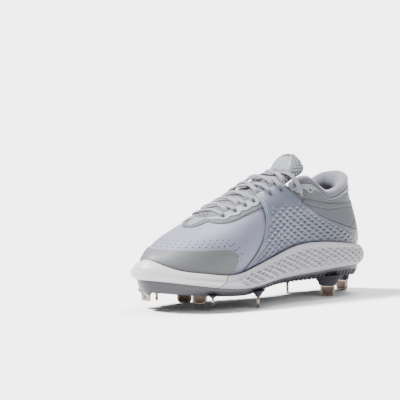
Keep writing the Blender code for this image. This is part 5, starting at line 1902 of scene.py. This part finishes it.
class CLEAT_OT_tongue(bpy.types.Operator):
    """Adds the padded tongue with its knitted dots and a plain label place at the top."""

    bl_idname = "cleat.tongue"
    bl_label = "Tongue"

    def execute(self, context):
        shares = np.linspace(-1, 1, 61)
        grid = tongue_grid(shares)
        along = np.gradient(grid, axis=0)
        aside = np.gradient(grid, axis=1)
        normals = unit(np.cross(along, aside))
        normals = np.where(normals[..., 2:] > 0, normals, -normals)
        lines = len(grid)
        free_from = TONGUE_LINES - TONGUE_FREE_LINES
        length = np.concatenate([[0], np.cumsum(np.linalg.norm(np.diff(grid[:, 30], axis=0), axis=-1))])
        halves = np.linalg.norm(grid[:, -1] - grid[:, 0], axis=-1) / 2
        cell = sizes().tongue_cell

        def label(line, share):
            down = length[-1] - np.interp(line, np.arange(lines), length)
            y = share * np.interp(line, np.arange(lines), halves)
            tall = smooth_step((down - 4.5 * MM) / (0.8 * MM)) * smooth_step((24 * MM - down) / (0.8 * MM))
            half = 5.5 * MM + 0.34 * down
            return tall * smooth_step((half - np.abs(y)) / (0.8 * MM))

        def place_of(level):
            front = level <= 1
            share = np.where(front, 2 * level - 1, 3 - 2 * level)
            return front, share, (share + 1) / 2 * (len(shares) - 1)

        def dots(line, level):
            front, share, _ = place_of(level)
            u = np.interp(line, np.arange(lines), length)
            w = share * np.interp(line, np.arange(lines), halves)
            a, b = u / cell + w / cell * 1.1, u / cell - w / cell * 1.1
            far = np.hypot(a - np.round(a), b - np.round(b))
            edge = smooth_step((1 - np.abs(share)) / 0.06)
            edge = edge * (1 - label(line, share)) * front * smooth_step((lines - 2 - line) / 9)
            return (1 - smooth_step((far - 0.22) / 0.26)) * edge

        def shape(line, level):
            front, share, column_at = place_of(level)
            base = sampled(grid, line, column_at)
            normal = unit(sampled(normals, line, column_at))
            free = smooth_step((line - free_from + 20) / 45)
            end = np.clip((lines - 1 - line) / 12, 0, 1)
            full = TONGUE_THICKNESS * (0.6 + 0.9 * free) * rounded(end)
            thick = full * np.sqrt(np.maximum(0, 1 - share**4))
            puff = 0.62 * full * free * (1 - share**2)
            u = np.interp(line, np.arange(lines), length)
            crown = smooth_step((u - 14 * MM) / (16 * MM)) * (1 - free)
            puff = puff + crown * (4.3 + 0.8 * np.cos(2 * np.pi * u / (12.6 * MM))) * MM * (1 - share**4)
            raised = 0.6 * MM * dots(line, level) + 0.35 * MM * label(line, share)
            lift = np.where(front, puff + raised, puff - thick)
            return base + normal * lift[:, None]

        def flat(line, level):
            share = place_of(level)[1]
            u = np.interp(line, np.arange(lines), length)
            return np.stack([u, share * np.interp(line, np.arange(lines), halves)], axis=-1)

        bm = bmesh.new()
        marks = {
            "dots": dots,
            "label": lambda line, level: label(line, place_of(level)[1]) * (level <= 1),
        }
        places = np.concatenate([np.linspace(0, lines - 14, 230), np.linspace(lines - 13, lines - 1, 26)])
        levels = np.concatenate([crowded(0, 1, 90, 0.8), even(1, 2, 24)[1:]])
        shaped_grid(bm, places, levels, shape, flat, marks)
        close_shell(bm)
        finish = found("tongue_mesh", tongue_finish)
        made = finish_piece(bm, "tongue_pad", [finish], ["tongue"])
        return {"FINISHED"}


def tongue_finish():
    """Knitted cloth with raised dots, and a plain coated patch where a label sits."""
    made = Finish("tongue_mesh", 0.82)
    colour = tone("tongue")
    place = made.object_place()
    dots, label = made.mask("dots"), made.mask("label")
    weave = made.waves(made.turned(made.pattern_place(), 45), 0.75 * MM, "X")
    fuzz = made.noise(place, 0.5 * MM, 2)
    knit = made.blend(made.span(dots, 0.05, 0.7), shade(colour, 0.22), shade(colour, 1.2))
    knit = made.blend(made.span(weave, 0.0, 0.6), shade(colour, 0.8), knit)
    base = made.blend(label, knit, shade(tone("eyestay"), 0.70))
    made.set("Base Color", base)
    made.relief((weave, 0.05 * MM), (fuzz, 0.03 * MM))
    made.set("Roughness", made.span(label, 0.0, 1.0, 0.85, 0.55))
    made.set("Sheen Weight", 0.2)
    return made.material


def lace_over(row):
    """Height of the surface that a lace rests on beside the throat: the eyestay, or the panel over it."""
    covered = smooth_step((row - 4.95) / 0.3) * smooth_step((6.35 - row) / 0.2)
    return SEAT + OVERLAY + covered * (SEAT + SADDLE)


def lace_line(start_row, start_side, end_row, lift, plunge_start=False):
    """Centre line and up directions of one strand, from under one edge, over the tongue, into an eyelet."""
    count = 90
    t = np.linspace(0, 1, count)
    centre = float(middle(np.array([start_row]))[0])
    thick = sizes().lace_thickness
    edge_start = abs(float(skin(*one(start_row, v_edge))[0][1]) - centre)
    eyelet_s, eyelet_v = eyelet_spot(end_row, -start_side)
    end_y = abs(float(skin(eyelet_s, eyelet_v)[0][1]) - centre)
    first_y = edge_start + 2.5 * MM
    if plunge_start:
        s0, v0 = eyelet_spot(start_row, start_side)
        first_y = abs(float(skin(s0, v0)[0][1]) - centre)
    y = start_side * (first_y - (first_y + end_y) * t)
    row = start_row + (end_row - start_row) * smooth_step(t)
    s = np.where(y >= 0, row, RING - row)
    v = np.where(np.abs(y) > 0.05 * MM, v_at_side(s, np.abs(y)), 1.0)
    gone_start = (first_y - np.abs(y)) * (t < 0.5) + (t >= 0.5)
    gone_end = (end_y - np.abs(y)) * (t > 0.5) + (t <= 0.5)
    over = lace_over(row) + 0.5 * thick
    arch = np.sin(np.pi * t)
    body = over + (0.2 * MM + lift) * arch
    dip_start = smooth_step((gone_start - 0.2 * MM) / (5.0 * MM))
    low_start = -0.9 * MM if not plunge_start else -2.2 * MM
    if plunge_start:
        dip_start = smooth_step((gone_start + 0.2 * MM) / (2.6 * MM))
    dip_end = smooth_step((gone_end + 0.2 * MM) / (2.6 * MM))
    offset = body * dip_start * dip_end + low_start * (1 - dip_start) + (over - thick * 1.45) * (1 - dip_end)
    path = skin(s, v, offset)
    up = outward(s, v)
    up = np.where((np.abs(y) < 6 * MM)[:, None], smooth_rows(up, 9), up)
    return smooth_rows(path, 3), unit(smooth_rows(up, 7))


def one(row, line):
    s = np.array([float(row)])
    return s, line(s)


def smooth_rows(values, passes):
    values = values.copy()
    for _ in range(passes):
        values[1:-1] = (values[:-2] + 2 * values[1:-1] + values[2:]) / 4
    return values


def add_lace(bm, path, up):
    """A braided lace along a line: a flat oval section with its width on the surface."""
    ahead = unit(np.gradient(path, axis=0))
    aside = unit(np.cross(ahead, up))
    up = unit(np.cross(aside, ahead))
    far = np.concatenate([[0], np.cumsum(np.linalg.norm(np.diff(path, axis=0), axis=-1))])
    count = len(path)
    half_wide, half_thick = sizes().lace_width / 2, sizes().lace_thickness / 2
    ends = np.minimum(far, far[-1] - far)

    def shape(at, level):
        i = np.round(at).astype(int)
        angle = 2 * np.pi * level
        c, w = np.cos(angle), np.sin(angle)
        flat = 2.5
        wide = np.sign(c) * np.abs(c) ** (2 / flat) * half_wide
        tall = np.sign(w) * np.abs(w) ** (2 / flat) * half_thick
        pinch = 0.80 + 0.20 * smooth_step((ends[i] - 1.0 * MM) / (4 * MM))
        ripple = 1 + 0.012 * np.sin(far[i] / (1.1 * MM) + 3 * angle)
        side = aside[i] * (wide * pinch * ripple)[:, None]
        return path[i] + side + up[i] * (tall * ripple)[:, None]

    def flat_place(at, level):
        i = np.round(at).astype(int)
        return np.stack([far[i], level * 13 * MM], axis=-1)

    # Painted shade over the last few millimetres before the eyelet.
    def tip(at, level):
        i = np.round(at).astype(int)
        return 0.9 * (1 - smooth_step((far[-1] - far[i] - 3 * MM) / (3 * MM)))

    shaped_grid(bm, np.arange(count), even(0, 1, 18), shape, flat_place, {"tip": tip}, turned=False)


class CLEAT_OT_laces(bpy.types.Operator):
    """Adds the lace: a bar at the front, then crossings that run out of the throat and into the eyelets."""

    bl_idname = "cleat.laces"
    bl_label = "Laces"

    def execute(self, context):
        first = EYELET_ROWS[0]
        bm = bmesh.new()
        path, up = lace_line(first, -1, first, 0.0, plunge_start=True)
        add_lace(bm, path, up)
        self.finish_strands(bm, "lace_front_bar", "lace_bar")
        for number in range(1, LACED):
            row = EYELET_ROWS[number]
            start = EYELET_ROWS[number - 1] - LACE_STEP
            bm = bmesh.new()
            for side, lift in ((-1, 0.0), (1, 1.3 * MM)):
                path, up = lace_line(start, side, row, lift)
                add_lace(bm, path, up)
            self.finish_strands(bm, f"lace_pair_{number}", f"lace_cross_{number}")
        return {"FINISHED"}

    def finish_strands(self, bm, name, node):
        close_shell(bm)
        finish_piece(bm, name, [found("lace_cord", lace_finish)], [node])


class CLEAT_OT_insole(bpy.types.Operator):
    """Finishes the insole that shows inside the collar."""

    bl_idname = "cleat.insole"
    bl_label = "Insole"

    def execute(self, context):
        finish = Finish("insole_cloth", 0.9)
        colour = shade(tone("collar"), 0.82)
        place = finish.object_place()
        weave = finish.maths(
            "MULTIPLY",
            finish.waves(finish.turned(place, 45), 1.0 * MM, "X"),
            finish.waves(finish.turned(place, 45), 1.0 * MM, "Y"),
        )
        finish.set("Base Color", finish.blend(finish.span(weave, 0.0, 0.5), shade(colour, 0.6), colour))
        finish.relief((weave, 0.08 * MM), (finish.noise(place, 0.6 * MM), 0.03 * MM))
        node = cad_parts["insole"]
        for slot in node.material_slots:
            slot.material = finish.material
        return {"FINISHED"}


# The stage

CAMERA_TURN = math.radians(48.812)
CAMERA_LIFT = math.radians(5.241)
CAMERA_DISTANCE = 3.0
CAMERA_TARGET = Vector((0, 0, 60 * MM))
CAMERA_LENS = 274.74
CAMERA_SHIFT = (-0.12665, 0.10008)


class CLEAT_OT_stage(bpy.types.Operator):
    """Adds the pale floor, the soft studio light and the camera at the photograph's angle."""

    bl_idname = "cleat.stage"
    bl_label = "Stage"

    def execute(self, context):
        self.add_floor()
        self.add_world()
        towards = Vector(
            (
                math.sin(CAMERA_TURN) * math.cos(CAMERA_LIFT),
                math.cos(CAMERA_TURN) * math.cos(CAMERA_LIFT),
                math.sin(CAMERA_LIFT),
            )
        )
        right = Vector((-math.cos(CAMERA_TURN), math.sin(CAMERA_TURN), 0))
        key = sizes().key_light
        self.add_light("key", towards * 0.05 - right * 0.75 + Vector((0, 0, 1.05)), 14, key)
        self.add_light("fill", towards * 0.9 + right * 0.5 + Vector((0, 0, 0.9)), 50, 0.068 * key)
        self.add_light("rear", -towards * 0.7 + right * 0.3 + Vector((0, 0, 1.2)), 30, 0.30 * key)
        data = bpy.data.cameras.new("camera")
        data.lens = CAMERA_LENS
        data.sensor_width = 36
        data.shift_x, data.shift_y = CAMERA_SHIFT
        data.clip_end = 50
        camera = bpy.data.objects.new("camera", data)
        bpy.context.scene.collection.objects.link(camera)
        camera.location = CAMERA_TARGET + towards * CAMERA_DISTANCE
        camera.rotation_euler = towards.to_track_quat("Z", "Y").to_euler()
        bpy.context.scene.camera = camera
        return {"FINISHED"}

    def add_floor(self):
        bm = bmesh.new()
        bmesh.ops.create_grid(bm, x_segments=8, y_segments=8, size=150)
        mesh = bpy.data.meshes.new("floor")
        bm.to_mesh(mesh)
        bm.free()
        floor_piece = bpy.data.objects.new("floor", mesh)
        bpy.context.scene.collection.objects.link(floor_piece)
        finish = Finish("floor_paper", 0.85)
        finish.set("Base Color", (0.93, 0.93, 0.93, 1.0))
        mesh.materials.append(finish.material)

    def add_world(self):
        world = bpy.data.worlds.new("studio")
        bpy.context.scene.world = world
        world.use_nodes = True
        sky = world.node_tree.nodes["Background"]
        sky.inputs["Color"].default_value = (0.95, 0.96, 1.0, 1.0)
        sky.inputs["Strength"].default_value = 0.23

    def add_light(self, name, towards, softness, strength):
        """A far soft light: its direction, how wide it looks in degrees, and its strength."""
        data = bpy.data.lights.new(name, "SUN")
        data.energy = strength
        data.angle = math.radians(softness)
        light = bpy.data.objects.new(name, data)
        bpy.context.scene.collection.objects.link(light)
        light.location = towards * 2
        light.rotation_euler = towards.to_track_quat("Z", "Y").to_euler()


PIECES = (
    CLEAT_OT_midsole,
    CLEAT_OT_bumper,
    CLEAT_OT_plate,
    CLEAT_OT_spikes,
    CLEAT_OT_upper,
    CLEAT_OT_toe_overlay,
    CLEAT_OT_eyestay,
    CLEAT_OT_ankle,
    CLEAT_OT_side_panel,
    CLEAT_OT_counter,
    CLEAT_OT_collar,
    CLEAT_OT_tongue,
    CLEAT_OT_laces,
    CLEAT_OT_insole,
    CLEAT_OT_stage,
)


class CLEAT_PT_sidebar(bpy.types.Panel):
    """Lists the cleat's pieces with their sizes and colours."""

    bl_idname = "CLEAT_PT_sidebar"
    bl_label = "Baseball Cleat"
    bl_space_type = "VIEW_3D"
    bl_region_type = "UI"
    bl_category = "Cleat"

    def draw(self, context):
        layout = self.layout
        for group in (context.scene.cleat_sizes, context.scene.cleat_colours):
            box = layout.box()
            for name in group.bl_rna.properties.keys():
                if name not in ("rna_type", "name"):
                    box.prop(group, name)
        for piece in PIECES:
            layout.operator(piece.bl_idname)


CLASSES = (CLEAT_PG_sizes, CLEAT_PG_colours, *PIECES, CLEAT_PT_sidebar)


def register():
    for kind in CLASSES:
        bpy.utils.register_class(kind)
    bpy.types.Scene.cleat_sizes = bpy.props.PointerProperty(type=CLEAT_PG_sizes)
    bpy.types.Scene.cleat_colours = bpy.props.PointerProperty(type=CLEAT_PG_colours)


def unregister():
    del bpy.types.Scene.cleat_colours
    del bpy.types.Scene.cleat_sizes
    for kind in reversed(CLASSES):
        bpy.utils.unregister_class(kind)


def main():
    register()
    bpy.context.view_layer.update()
    bpy.ops.cleat.midsole()
    bpy.ops.cleat.bumper()
    bpy.ops.cleat.plate()
    bpy.ops.cleat.spikes()
    bpy.ops.cleat.upper()
    bpy.ops.cleat.toe_overlay()
    bpy.ops.cleat.eyestay()
    bpy.ops.cleat.ankle()
    bpy.ops.cleat.side_panel()
    bpy.ops.cleat.counter()
    bpy.ops.cleat.collar()
    bpy.ops.cleat.tongue()
    bpy.ops.cleat.laces()
    bpy.ops.cleat.insole()
    bpy.ops.cleat.stage()


if __name__ == "__main__":
    main()
